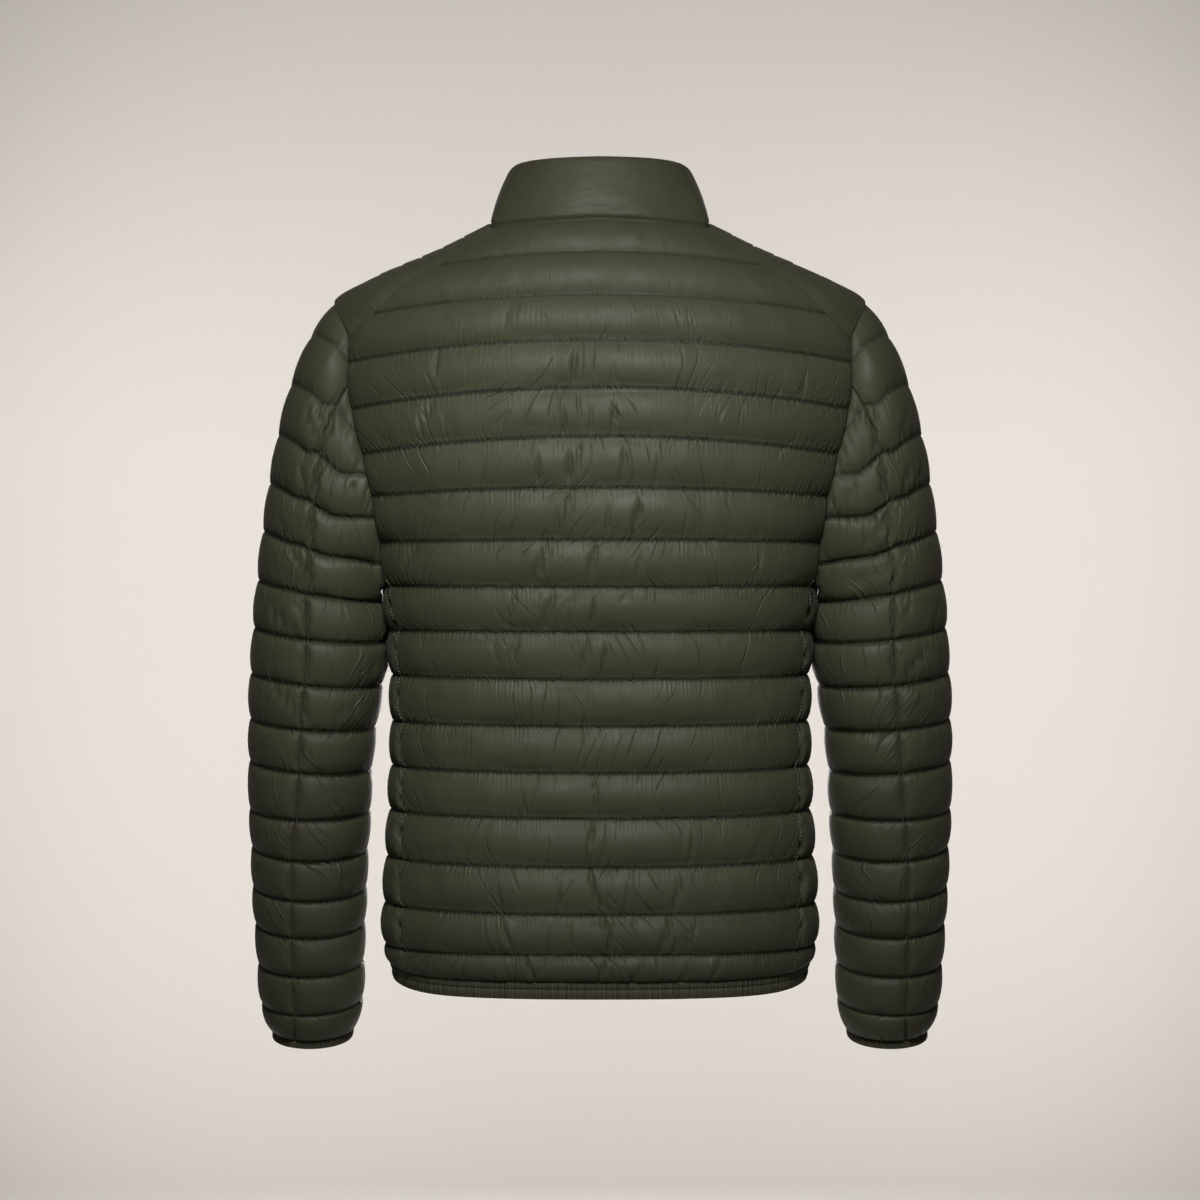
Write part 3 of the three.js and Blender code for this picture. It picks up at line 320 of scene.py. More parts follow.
def on_sleeve(angle, line):
    """A place on the left sleeve, with a cap that bends from the armhole into the sleeve."""
    angle, line = np.broadcast_arrays(np.asarray(angle, float), np.asarray(line, float))
    turned = np.mod(angle, 360)
    start = np.stack([c(turned) for c in armhole_xyz], axis=-1)
    end = sleeve_ring(angle, np.full_like(line, CAP_END))
    begins = armhole_line(turned)
    u = np.clip((line - begins) / (CAP_END - begins), 0, 1)
    s = (u + CAP_FULLNESS["easing"] * u * (1 - u) ** 2)[..., None]
    chord = np.linalg.norm(end - start, axis=-1)[..., None]
    leaving = np.stack([c(turned) for c in cap_leaves], axis=-1)
    leaving *= CAP_FULLNESS["leaving"] * chord / np.linalg.norm(leaving, axis=-1)[..., None]
    arriving = SLEEVE_AXIS * CAP_FULLNESS["arriving"] * chord
    cap = start * (2 * s**3 - 3 * s**2 + 1) + leaving * (s**3 - 2 * s**2 + s)
    cap = cap + end * (3 * s**2 - 2 * s**3) + arriving * (s**3 - s**2)
    away = np.clip(u * 2, 0, 1) * SLEEVE_CLEARANCE
    cap = np.where((u > 0)[..., None], clear_of_body(cap, away), cap)
    return np.where((line >= CAP_END)[..., None], sleeve_ring(angle, line), cap)


def collar_point(angle, height):
    """A place on the collar's outer face, from the neck seam, 0, to its top edge, 1."""
    angle, height = np.broadcast_arrays(np.asarray(angle, float), np.asarray(height, float))
    c, s = np.cos(np.radians(angle)), np.sin(np.radians(angle))
    depth = np.where(s >= 0, COLLAR_FORM["back"], COLLAR_FORM["front"])
    top = np.stack(
        [COLLAR_FORM["half"] * c, COLLAR_FORM["middle_y"] + depth * s, collar_top(angle)],
        axis=-1,
    )
    point = on_body(angle, neck_height(angle))
    point = point + (top - point) * height[..., None]
    bulge = COLLAR_FORM["bulge"] * np.sin(np.pi * height)
    point = point + np.stack([c, s, np.zeros_like(c)], axis=-1) * bulge[..., None]
    low = (angle < COLLAR_STRAIGHT) & (point[..., 0] < FRONT_EDGE)
    point[..., 0] = np.where(low, FRONT_EDGE, point[..., 0])
    return point


# Cloth


def unit(v):
    return v / np.maximum(np.linalg.norm(v, axis=-1, keepdims=True), 1e-9)


def grid_normals(p, flip=1):
    """Normals of a grid of points, from its neighbours along rows and columns."""
    across = np.empty_like(p)
    down = np.empty_like(p)
    across[:, 1:-1] = p[:, 2:] - p[:, :-2]
    across[:, 0] = p[:, 1] - p[:, 0]
    across[:, -1] = p[:, -1] - p[:, -2]
    down[1:-1] = p[2:] - p[:-2]
    down[0] = p[1] - p[0]
    down[-1] = p[-1] - p[-2]
    return unit(np.cross(down, across) * flip)


def soft_noise(shape, steps, rng):
    """Random hills and hollows between -1 and 1, that many grid steps across."""
    rows, columns = shape
    down, across = max(2, int(rows / steps[0]) + 2), max(2, int(columns / steps[1]) + 2)
    coarse = rng.uniform(-1, 1, (down, across))
    r = np.linspace(0, down - 1.001, rows)
    c = np.linspace(0, across - 1.001, columns)
    i, j = r.astype(int), c.astype(int)
    fr, fc = (r - i)[:, None], (c - j)[None, :]
    fr, fc = fr * fr * (3 - 2 * fr), fc * fc * (3 - 2 * fc)
    top = coarse[np.ix_(i, j)] * (1 - fc) + coarse[np.ix_(i, j + 1)] * fc
    low = coarse[np.ix_(i + 1, j)] * (1 - fc) + coarse[np.ix_(i + 1, j + 1)] * fc
    return top * (1 - fr) + low * fr


def lengths(v):
    return np.sqrt(np.einsum("...i,...i->...", v, v))


def bell(offset, reach):
    """1 at no offset, falling smoothly to 0 beyond the reach."""
    return np.exp(-((offset / reach) ** 2))


def draw_together(p, free, a, b, rest, strength):
    """Brings two sets of points of the cloth to their distance in the flat cloth."""
    gap = p[b] - p[a]
    length = lengths(gap) + TINY
    both = free[a] + free[b]
    gap *= (strength * (length - rest) / (length * np.maximum(both, TINY)))[..., None]
    p[a] += gap * free[a][..., None]
    p[b] -= gap * free[b][..., None]


def settle(base, normals, free, grow_across, grow_down, settings, seed_shape):
    """Lets a quilted cloth, larger than its form, swell and wrinkle between its stitches."""
    p = (base + normals * seed_shape[..., None]).astype(np.float32)
    base = base.astype(np.float32)
    normals = normals.astype(np.float32)
    free = free.astype(np.float32)
    across = lengths(np.diff(base, axis=1)) * (grow_across[:, 1:] + grow_across[:, :-1]) / 2
    down = lengths(np.diff(base, axis=0)) * (grow_down[1:] + grow_down[:-1]) / 2
    across, down = across.astype(np.float32), down.astype(np.float32)
    mean = (grow_across + grow_down) / 2
    fall = (lengths(base[1:, 1:] - base[:-1, :-1]) * mean[1:, 1:]).astype(np.float32)
    rise = (lengths(base[1:, :-1] - base[:-1, 1:]) * mean[1:, 1:]).astype(np.float32)
    every = slice(None)
    links = []
    rows, columns = base.shape[:2]
    for start in (0, 1):
        a = (every, slice(start, columns - 1, 2))
        b = (every, slice(start + 1, columns, 2))
        links.append((a, b, across[:, start::2], settings["hold"]))
    for start in (0, 1):
        a = (slice(start, rows - 1, 2), every)
        b = (slice(start + 1, rows, 2), every)
        links.append((a, b, down[start::2], settings["hold"]))
    for start in (0, 1):
        upper, lower = slice(start, rows - 1, 2), slice(start + 1, rows, 2)
        left, right = slice(0, columns - 1), slice(1, columns)
        links.append(((upper, left), (lower, right), fall[start::2], settings["shear"]))
        links.append(((upper, right), (lower, left), rise[start::2], settings["shear"]))
    for start in range(4):
        a, b = slice(start, columns - 2, 4), slice(start + 2, columns, 4)
        rest = (across[:, :-1] + across[:, 1:])[:, start::4]
        links.append(((every, a), (every, b), rest, settings["stiff"]))
    for start in range(4):
        a, b = slice(start, rows - 2, 4), slice(start + 2, rows, 4)
        rest = (down[:-1] + down[1:])[start::4]
        links.append(((a, every), (b, every), rest, settings["stiff"]))
    before = p.copy()
    lift = np.float32(settings["pressure"])
    weight = np.array([0, 0, -settings["weight"]], np.float32)
    keep = np.float32(settings["damping"])
    for step in range(settings["rounds"]):
        if step % settings["turn_every"] == 0:
            facing = grid_normals(p, settings["flip"])
        moved = p + ((p - before) * keep + facing * lift + weight) * free[..., None]
        before = p
        p = moved
        for link in links:
            draw_together(p, free, *link)
        out = np.einsum("...i,...i->...", p - base, normals)
        wanted = np.minimum(np.maximum(out, settings["lowest"]), settings["highest"])
        p += normals * ((wanted - out) * free)[..., None]
    return p.astype(float)


# How firmly the cloth keeps its size, and what lifts and bounds it
CLOTH = {
    "hold": 0.9,
    "shear": 0.15,
    "stiff": 0.06,
    "pressure": 0.02,
    "weight": 0.002,
    "damping": 0.93,
    "rounds": 260,
    "turn_every": 3,
    "lowest": 0.25,
    "highest": 12,
    "flip": 1,
}


# Meshes


def mesh_piece(name, points, faces, material, smooth=True, sharp=None, places=None):
    """A piece from points in millimetres and faces that all have as many corners."""
    mesh = bpy.data.meshes.new(name)
    points = np.asarray(points, float) * MM
    size = faces.shape[1]
    mesh.vertices.add(len(points))
    mesh.vertices.foreach_set("co", points.astype(np.float32).ravel())
    mesh.loops.add(faces.size)
    mesh.loops.foreach_set("vertex_index", faces.astype(np.int32).ravel())
    mesh.polygons.add(len(faces))
    mesh.polygons.foreach_set("loop_start", np.arange(0, faces.size, size, dtype=np.int32))
    mesh.polygons.foreach_set("loop_total", np.full(len(faces), size, np.int32))
    mesh.update(calc_edges=True)
    if places is not None:
        on_cloth = mesh.uv_layers.new(name="on_cloth")
        on_cloth.data.foreach_set("uv", places[faces].astype(np.float32).ravel())
    mesh.validate()
    if smooth:
        mesh.shade_smooth()
        if sharp:
            mesh.set_sharp_from_angle(angle=math.radians(sharp))
    piece = bpy.data.objects.new(name, mesh)
    bpy.context.scene.collection.objects.link(piece)
    mesh.materials.append(material)
    return piece


def grid_triangles(ids, keep=None):
    """Two triangles for each cell of a grid, leaving out those with no area."""
    a, b, c, d = ids[:-1, :-1], ids[:-1, 1:], ids[1:, 1:], ids[1:, :-1]
    if keep is None:
        keep = np.ones(a.shape, bool)
    a, b, c, d = (v[keep] for v in (a, b, c, d))
    triangles = np.concatenate([np.stack([a, d, c], 1), np.stack([a, c, b], 1)])
    distinct = (
        (triangles[:, 0] != triangles[:, 1])
        & (triangles[:, 1] != triangles[:, 2])
        & (triangles[:, 2] != triangles[:, 0])
    )
    return triangles[distinct]


def open_edges(triangles, count):
    edges = np.concatenate([triangles[:, [0, 1]], triangles[:, [1, 2]], triangles[:, [2, 0]]])
    code = edges[:, 0] * count + edges[:, 1]
    back = edges[:, 1] * count + edges[:, 0]
    return edges[~np.isin(code, back)]


def used_only(points, faces, places):
    used, index = np.unique(faces, return_inverse=True)
    return points[used], index.reshape(faces.shape), places[used]


def places_on_cloth(grid, lines):
    """Metres across the cloth and number of the quilting line, at each point of a grid."""
    steps = lengths(np.diff(grid, axis=1))
    walked = np.concatenate([np.zeros((len(grid), 1)), np.cumsum(steps, axis=1)], axis=1)
    walked -= walked[:, -1:] / 2
    if lines is None:
        lines = np.full(len(grid), 0.5)
    return np.stack([walked * MM, lines[:, None] + 0 * walked], axis=-1)


def shell(name, outer, inner, material, keep=None, ids=None, turned=False, lines=None):
    """A closed piece of cloth with an outer face, a lining and an edge between them."""
    count = outer.shape[0] * outer.shape[1]
    if ids is None:
        ids = np.arange(count).reshape(outer.shape[:2])
    face = grid_triangles(ids, keep)
    if turned:
        face = face[:, ::-1]
    edge = open_edges(face, count)
    a, b = edge[:, 0], edge[:, 1]
    rim = np.concatenate(
        [np.stack([b, a, a + count], 1), np.stack([b, a + count, b + count], 1)]
    )
    faces = np.concatenate([face, face[:, ::-1] + count, rim])
    points = np.concatenate([outer.reshape(-1, 3), inner.reshape(-1, 3)])
    places = np.tile(places_on_cloth(inner, lines).reshape(-1, 2), (2, 1))
    points, faces, places = used_only(points, faces, places)
    return mesh_piece(name, points, faces, material, sharp=SHARP_EDGE, places=places)


def on_side(points, sign):
    """Points of the left side, or the same mirrored to the right."""
    return points * np.array([sign, 1, 1])


def walked_along(points):
    """Distance along a path at each of its points."""
    return np.concatenate([[0], np.cumsum(lengths(np.diff(points, axis=0)))])


def taken_at(distance, walked, values):
    """Values of a path's points at distances along it."""
    return np.stack([np.interp(distance, walked, values[:, i]) for i in range(3)], axis=-1)


# Rows and columns of each piece


def channel_lines(first, last):
    lines = [n + share for n in range(math.floor(first), last) for share in CHANNEL_ROWS]
    return np.array([line for line in lines if line >= first] + [last])


def on_line(lines):
    return np.abs(lines - np.round(lines)) < TINY


def channel_profile(lines):
    return np.sin(np.pi * (lines - np.floor(lines)))


NECK_ANGLES = np.linspace(NECK_CORNER_ANGLE, 90, 40)
NECK_POINTS = on_body(NECK_ANGLES, neck_height(NECK_ANGLES))


def back_grid(lines, columns):
    """Points of the back from the neck to the hem, and each one's share of the half width."""
    across = np.linspace(1, -1, columns)[None, :]
    q = lines[:, None]
    edge_x, _ = back_edge(lines)
    x = across * edge_x[:, None]
    neck = np.interp(-np.abs(x), -NECK_POINTS[:, 0], NECK_POINTS[:, 2])
    z = line_at(q, x) + (neck - line_at(0, x)) * np.clip(1 - q / NECK_REACH, 0, 1)
    return on_body(body_angle(x, z), z), across + 0 * x


def front_grid(lines, columns, under_columns):
    """Points of the left front from the shoulder seam to the hem, and each row's line."""
    t = np.linspace(0, 1, columns)
    seam_line = SHOULDER_END_LINE * t
    seam_x, seam_z = back_edge(seam_line)
    guides = [(body_angle(seam_x, seam_z), seam_z)]
    for neck_angle, arm_side, arm_z in SHOULDER_ROWS[::-1]:
        end = 0.0
        if arm_side:
            edge = armhole_back(arm_z) if arm_side > 0 else armhole_front(arm_z)
            end = float(body_angle(edge, arm_z, arm_side))
        neck_z = float(neck_height(neck_angle))
        guides.append((neck_angle + (end - neck_angle) * t, neck_z + (arm_z - neck_z) * t))
    rows = []
    per_guide = 6
    body = [body_row_angles(line, t) for line in lines]
    guides.append(body[0])
    for upper, lower in zip(guides[:-1], guides[1:]):
        for share in np.arange(per_guide) / per_guide:
            rows.append(tuple(u + (v - u) * share for u, v in zip(upper, lower)))
    heights = [SHOULDER_END_LINE - 1 - i for i in range(len(rows))][::-1]
    rows += body
    angle = np.array([row[0] for row in rows])
    z = np.array([row[1] for row in rows])
    neck = slice(0, per_guide * len(SHOULDER_ROWS) + 1)
    short = neck_height(angle[neck, 0]) - z[neck, 0]
    z[neck] += short[:, None] * (1 - t) ** 2
    main = on_body(angle, z)
    low = np.array(heights + list(lines))
    under = []
    share = np.linspace(0, 1, under_columns + 1)[1:]
    for i, line in enumerate(low):
        if line < UNDERARM_LINE - TINY:
            under.append(np.repeat(main[i, -1:], under_columns, axis=0))
            continue
        x, edge_z = (float(v) for v in back_edge(max(line, UNDERARM_LINE + TINY)))
        end = float(body_angle(x, edge_z))
        start = UNDERARM_FRONT_ANGLE
        around = start + (end - start) * share
        level = line_at(line, on_body(around, line_height(line))[:, 0])
        under.append(on_body(around, level))
    return np.concatenate([main, np.array(under)], axis=1), low


def body_row_angles(line, t):
    """Angles and heights of a row that runs level from the front edge to the armhole."""
    z = float(line_height(line))
    start = float(body_angle(FRONT_EDGE, z, -1))
    end = float(front_arm_edge(line)[0])
    angle = start + (end - start) * t
    x = on_body(angle, z)[:, 0]
    return angle, line_at(line, x)


def sleeve_angles(lines, top_columns, under_columns):
    hind = hind_angle(lines)[:, None]
    top = np.linspace(0, 1, top_columns)[None, :]
    under = np.linspace(0, 1, under_columns)[None, 1:]
    start = FOREARM_ANGLE - 360
    return np.concatenate(
        [start + (hind - start) * top, hind + (FOREARM_ANGLE - hind) * under], axis=1
    )


def sleeve_normals(angle, line):
    around = on_sleeve(angle + 2, line) - on_sleeve(angle - 2, line)
    along = on_sleeve(angle, line + 0.12) - on_sleeve(angle, line - 0.02)
    return unit(np.cross(along, around))


# Materials


def set_sockets(tree, node, sockets):
    """Sets a node's sockets to values, or links them to outputs."""
    for socket, value in sockets.items():
        if isinstance(value, bpy.types.NodeSocket):
            tree.links.new(value, node.inputs[socket])
        else:
            node.inputs[socket].default_value = value


def add_node(tree, kind, sockets=None, **settings):
    node = tree.nodes.new("ShaderNode" + kind)
    for key, value in settings.items():
        setattr(node, key, value)
    set_sockets(tree, node, sockets or {})
    return node


def figure(tree, operation, *values):
    return add_node(tree, "Math", dict(enumerate(values)), operation=operation).outputs[0]


def times(tree, first, *others):
    for other in others:
        first = figure(tree, "MULTIPLY", first, other)
    return first


def scaled(tree, vector, by):
    return add_node(tree, "VectorMath", {0: vector, 1: by}, operation="MULTIPLY").outputs[0]


def ramp(tree, value, low, high, start, end):
    sockets = {0: value, 1: low, 2: high, 3: start, 4: end}
    return add_node(tree, "MapRange", sockets, interpolation_type="SMOOTHSTEP").outputs[0]


def noise(tree, place, scale, detail=2, roughness=0.5):
    sockets = {"Vector": place, "Scale": scale, "Detail": detail, "Roughness": roughness}
    return add_node(tree, "TexNoise", sockets).outputs[0]


def two_tone(tree, value, colour, spread, low=0.3, high=0.75):
    """The colour a little darker and lighter where the value is low and high."""
    node = add_node(tree, "ValToRGB", {0: value})
    first, second = node.color_ramp.elements
    first.position, second.position = low, high
    first.color = [c * (1 - spread) for c in colour[:3]] + [1]
    second.color = [min(1, c * (1 + spread)) for c in colour[:3]] + [1]
    return node.outputs[0]


def relief(tree, height, depth, under=None):
    """Normals of a relief that is so many metres deep, on top of another one."""
    sockets = {"Height": height, "Distance": depth, "Strength": 1.0}
    if under is not None:
        sockets["Normal"] = under
    return add_node(tree, "Bump", sockets).outputs[0]


def new_surface(name):
    made = bpy.data.materials.new(name)
    made.use_nodes = True
    tree = made.node_tree
    place = add_node(tree, "TexCoord").outputs["Object"]
    return made, tree, tree.nodes["Principled BSDF"], place


def cloth_material(name, colour, sheen, roughness, weave):
    """A woven cloth with a fine weave and a little change of colour."""
    made, tree, surface, place = new_surface(name)
    set_sockets(tree, surface, {
        "Base Color": two_tone(tree, noise(tree, place, 60, 4), colour, 0.16),
        "Normal": relief(tree, noise(tree, place, weave, 3), 0.00012),
        "Roughness": roughness,
        "Sheen Weight": sheen,
        "Sheen Roughness": 0.4,
        "Specular IOR Level": 0.3,
    })
    return made


def finish_nylon(tree, surface, colour, roughness, place, normal, seam=None):
    """The weave, the satin finish and the change of colour that all the shell cloth has; seam adds
    painted shade in the stitch grooves.
    """
    tone = two_tone(tree, noise(tree, place, 11, 5, 0.6), colour, 0.09)
    # Painted shade: seam darkens the colour in the groove of each stitch line
    if seam is not None:
        tone = scaled(tree, tone, seam)
    matt = ramp(tree, noise(tree, place, 24, 4), 0.3, 0.7, roughness - 0.05, roughness + 0.07)
    set_sockets(tree, surface, {
        "Base Color": tone,
        "Normal": relief(tree, noise(tree, place, 1500, 2), 0.00006, normal),
        "Roughness": matt,
        "Sheen Weight": 0.03,
        "Sheen Roughness": 0.4,
        "Specular IOR Level": 0.2,
        "Specular Tint": (1.0, 0.98, 0.94, 1),
    })


def plain_nylon(name, colour, roughness):
    """The shell cloth where it isn't quilted: soft level creases and the weave."""
    made, tree, surface, place = new_surface(name)
    level = scaled(tree, place, (14, 14, 46))
    normal = relief(tree, noise(tree, level, 1, 3, 0.55), 0.0035)
    finish_nylon(tree, surface, colour, roughness, place, normal)
    return made


def quilted_nylon(name, colour, roughness):
    """The shell cloth with fine puckers at the stitch lines, soft creases and painted shade in the
    stitch grooves.
    """
    made, tree, surface, place = new_surface(name)
    on_cloth = add_node(tree, "UVMap", uv_map="on_cloth").outputs[0]
    parts = add_node(tree, "SeparateXYZ", {0: on_cloth})
    across, line = parts.outputs["X"], parts.outputs["Y"]
    to_line = figure(tree, "PINGPONG", line, 0.5)

    # The puckers lean one way or the other down their channel, and wander a little
    in_channel = figure(tree, "SUBTRACT", figure(tree, "FRACT", line), 0.5)
    tilt = times(tree, figure(tree, "SUBTRACT", noise(tree, place, 9, 1), 0.5), 0.2)
    wander = times(tree, noise(tree, place, 14), 0.012)
    lean = figure(tree, "ADD", times(tree, tilt, in_channel), wander)

    def streaks(wide, long, detail):
        """Ridges across the lines: so many a metre, changing so often in a channel."""
        at = times(tree, figure(tree, "ADD", across, lean), wide)
        vector = add_node(tree, "CombineXYZ", {0: at, 1: times(tree, line, long)}).outputs[0]
        return noise(tree, vector, 1, detail)

    # The yoke at the top is smoother than the rest
    smooth_top = ramp(tree, line, 1.4, 4.2, 0.08, 1.0)
    patches = ramp(tree, noise(tree, place, 17, 1), 0.38, 0.66, 0.0, 1.0)
    reach = figure(tree, "MULTIPLY_ADD", patches, 0.2, 0.13)
    near = ramp(tree, to_line, 0.0, reach, 1.0, 0.0)
    strong = figure(tree, "MULTIPLY_ADD", patches, 0.6, 0.4)
    pucker = times(tree, streaks(270, 1.2, 2), near, strong, smooth_top)
    small = times(tree, streaks(560, 2.3, 1), ramp(tree, to_line, 0, 0.11, 1, 0), smooth_top)
    off = figure(tree, "ABSOLUTE", figure(tree, "SUBTRACT", streaks(55, 0.22, 0), 0.5))
    thin = ramp(tree, off, 0.0, 0.035, 1.0, 0.0)
    where = ramp(tree, noise(tree, place, 30, 1), 0.46, 0.6, 0.0, 1.0)
    normal = None
    for height, depth in (
        (pucker, 0.0024),
        (small, 0.0012),
        (times(tree, thin, where, smooth_top), -0.0006),
        (streaks(60, 0.8, 2), 0.0009),
        (noise(tree, place, 34, 3, 0.5), 0.0007),
    ):
        normal = relief(tree, height, depth, normal)
    # Painted shade: the colour is darkened in the groove of each stitch line, less so on the top
    # lines
    line_shade_factor = ramp(tree, line, 1.4, 4.2, 0.6, 0.22)
    seam = ramp(tree, to_line, 0.004, 0.085, line_shade_factor, 1.0)
    finish_nylon(tree, surface, colour, roughness, place, normal, seam)
    return made


def ribbed_binding(name, colour):
    """Elastic binding: fine uneven ribs across it, with painted highlight on their crests and
    painted shade between them.
    """
    made, tree, surface, place = new_surface(name)
    on_cloth = add_node(tree, "UVMap", uv_map="on_cloth").outputs[0]
    ribs = noise(tree, scaled(tree, on_cloth, (430, 0, 0)), 1, 1, 0.4)
    weave = noise(tree, place, 1100, 2)
    set_sockets(tree, surface, {
        # Painted highlight on the rib crests and painted shade in the hollows between them
        "Base Color": two_tone(tree, ribs, colour, 0.3, 0.36, 0.64),
        "Normal": relief(tree, weave, 0.00015, relief(tree, ribs, 0.0022)),
        "Roughness": 0.7,
        "Specular IOR Level": 0.2,
    })
    return made


def metal_material(name, colour, roughness, metallic):
    """Dark plated metal, a little uneven and rubbed."""
    made, tree, surface, place = new_surface(name)
    cloud = noise(tree, place, 160, 5)
    set_sockets(tree, surface, {
        "Base Color": two_tone(tree, cloud, colour, 0.25),
        "Roughness": ramp(tree, cloud, 0.3, 0.7, roughness * 0.8, roughness * 1.3),
        "Metallic": metallic,
    })
    return made


def material(name):
    """The material of that name, made when it is first asked for."""
    made = bpy.data.materials.get(name)
    if made:
        return made
    look = bpy.context.scene.jacket_looks
    maker, *values = {
        "sewing_thread": (cloth_material, look.thread, 0.1, 0.7, 2000),
        "seam_thread": (cloth_material, look.seam_thread, 0.1, 0.6, 2000),
        "zip_tape_weave": (cloth_material, look.zip_tape, 0.1, 0.8, 1200),
        "zip_teeth": (metal_material, look.metal, 0.45, 0.6),
        "zip_hardware": (metal_material, look.metal, 0.35, 0.9),
        "olive_nylon": (quilted_nylon, look.nylon, look.nylon_roughness),
        "collar_nylon": (plain_nylon, look.nylon, look.nylon_roughness),
        "hem_binding": (ribbed_binding, look.binding),
    }[name]
    return maker(name, *values)


# Quilting


def channel_height(lines):
    """Height of the channel that each row lies in."""
    low = np.minimum(np.floor(lines + TINY), LAST_LINE - 1)
    return np.abs(line_height(low + 1) - line_height(low))


def swell(base, normals, height):
    """How much wider cloth has to be where its form curves, to stand that far out."""
    out = base + normals * (height + np.zeros(base.shape[:2]))[..., None]
    wide = lengths(np.diff(out, axis=1)) / np.maximum(lengths(np.diff(base, axis=1)), TINY)
    return np.clip(np.concatenate([wide[:, :1], wide], axis=1), 1, 1.25)


def near_lines(lines, reach):
    """1 on a stitch line, falling to 0 beyond its reach, in channels."""
    return bell(np.abs(lines - np.round(lines)), reach)


def set_creases(rows, across, up, strength=1.0):
    """Depth of the nearest crease at places of a piece, distance to it, height of all.

    A crease is a ridge that drops sharply on one side into a shallow hollow.
    """
    depth = np.zeros(across.shape)
    distance = np.full(across.shape, 1e3)
    height = np.zeros(across.shape)
    for x0, z0, x1, z1, deep, bend in rows:
        length = math.hypot(x1 - x0, z1 - z0)
        ux, uz = (x1 - x0) / length, (z1 - z0) / length
        along = ((across - x0) * ux + (up - z0) * uz) / length
        off = (across - x0) * -uz + (up - z0) * ux
        inside = np.clip(along, 0, 1)
        off = off - bend * np.sin(np.pi * inside)
        beyond = np.abs(along - inside) * length
        d = np.hypot(off, beyond)
        taper = deep * np.sin(np.pi * (0.12 + 0.76 * inside)) ** 0.7
        nearer = d < distance
        distance = np.where(nearer, d, distance)
        depth = np.where(nearer, taper, depth)
        turn = np.tanh(off / 0.7) / 2
        ridge = (0.5 + turn) * np.exp(-np.abs(off) / 4.2)
        hollow = (0.5 - turn) * np.exp(-np.abs(off) / 2.4)
        height += taper * (1.15 * ridge - 0.75 * hollow) * bell(beyond, 2.5)
    return depth, distance, height * strength


def quilted(base, normals, free, lines, puff, gather, rng, folds=None, ease=0, flip=1):
    """Swells a quilted piece: puff in mm, gather as the share of width that is taken in.

    The lines come with a share from 0 to 1 that says how near a gathered seam each place is.
    """
    cloth = bpy.context.scene.jacket_cloth
    shape = base.shape[:2]
    lines, seams = lines
    profile = channel_profile(lines)[:, None] * np.ones(shape)
    height = channel_height(lines)[:, None]
    # The filling isn't spread evenly
    uneven = 0.14 * soft_noise(shape, (11, 26), rng) + 0.1 * soft_noise(shape, (11, 10), rng)
    puff = cloth.puff * puff * (1 + uneven)
    gather = cloth.gather * gather
    at_line = near_lines(lines, 0.17)[:, None]
    patches = np.clip(0.9 + 0.7 * soft_noise(shape, (11, 30), rng), 0.2, 2)
    # How much larger the cloth is than its form, down and across
    grow_down = 1 + 2.67 * (puff / height) ** 2 + 0.004 * soft_noise(shape, (11, 10), rng)
    grow_down += 0.10 * seams
    grow_across = swell(base, normals, puff * 0.9)
    grow_across += gather * patches * (0.3 + 0.7 * at_line)
    grow_across += ease * (0.45 + 0.55 * at_line)
    # Where the cloth starts: its rounded channels with small hills, most at the lines
    seed = puff * 0.85 * profile
    small = soft_noise(shape, (5, 2.1), rng) + 0.6 * soft_noise(shape, (8, 3.4), rng)
    seed += 0.55 * small * np.minimum(1, 5 * profile) * (0.25 + near_lines(lines, 0.3)[:, None])
    seed += 0.55 * soft_noise(shape, (12, 6), rng) * profile
    seed += 0.9 * soft_noise(shape, (1.7, 6), rng) * seams * np.minimum(1, 4 * profile)
    # How far out it may come; creases hold it down
    highest = puff * 1.12 * profile ** 0.8 + 0.9
    if folds is not None:
        depth, distance, crease = folds
        grow_across += 0.16 * depth * bell(distance, 8)
        valley = puff * profile * (1 - 0.5 * depth) + 0.25
        highest = np.minimum(highest, valley + 0.55 * distance / np.maximum(depth, 0.05) ** 0.5)
        seed = np.minimum(seed, highest)
    settings = dict(CLOTH, flip=flip, highest=highest)
    settled = settle(base, normals, free, grow_across, grow_down, settings, seed * (free > 0))
    # What the cloth is too coarse to make: gathers at the seams, and the set creases
    extra = 1.1 * seams * soft_noise(shape, (1.6, 2.6), rng)
    if folds is not None:
        extra = extra + crease
    extra = extra * np.minimum(1, 2.5 * profile) * (free > 0)
    return settled + normals * extra[..., None]


def place_quilted(name, outer, inner, node, lines, keep=None, ids=None, turned=False):
    piece = shell(name, outer, inner, material("olive_nylon"), keep, ids, turned, lines)
    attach(piece, "jacket")
    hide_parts(node)


def stitch_row(points, normals, pitch=3.2, length=2.6, width=0.5, height=0.16):
    """Stitches along a row of points: corners of small bevelled bars."""
    walked = walked_along(points)
    count = int(walked[-1] / pitch)
    if count < 1:
        return np.zeros((0, 8, 3))
    starts = (np.arange(count) + 0.5) * walked[-1] / count - length / 2
    a, b = (taken_at(end, walked, points) for end in (starts, starts + length))
    out = unit(taken_at(starts + length / 2, walked, normals))
    along = unit(b - a)
    beside = np.cross(along, out) * width / 2
    low = out * -0.25
    foot = [a - beside + low, a + beside + low, b + beside + low, b - beside + low]
    narrow, top, taper = beside * 0.6, out * height, along * 0.35
    crest = [a - narrow + top + taper, a + narrow + top + taper]
    crest += [b + narrow + top - taper, b - narrow + top - taper]
    return np.stack(foot + crest, axis=1)


STITCH_FACES = np.array([
    (0, 3, 2, 1), (4, 5, 6, 7), (0, 1, 5, 4), (1, 2, 6, 5), (2, 3, 7, 6), (3, 0, 4, 7),
])


def repeated(faces, corners):
    """The faces of one small solid, for each row of corners."""
    first = corners.shape[1] * np.arange(len(corners))
    return (faces[None] + first[:, None, None]).reshape(-1, 4)


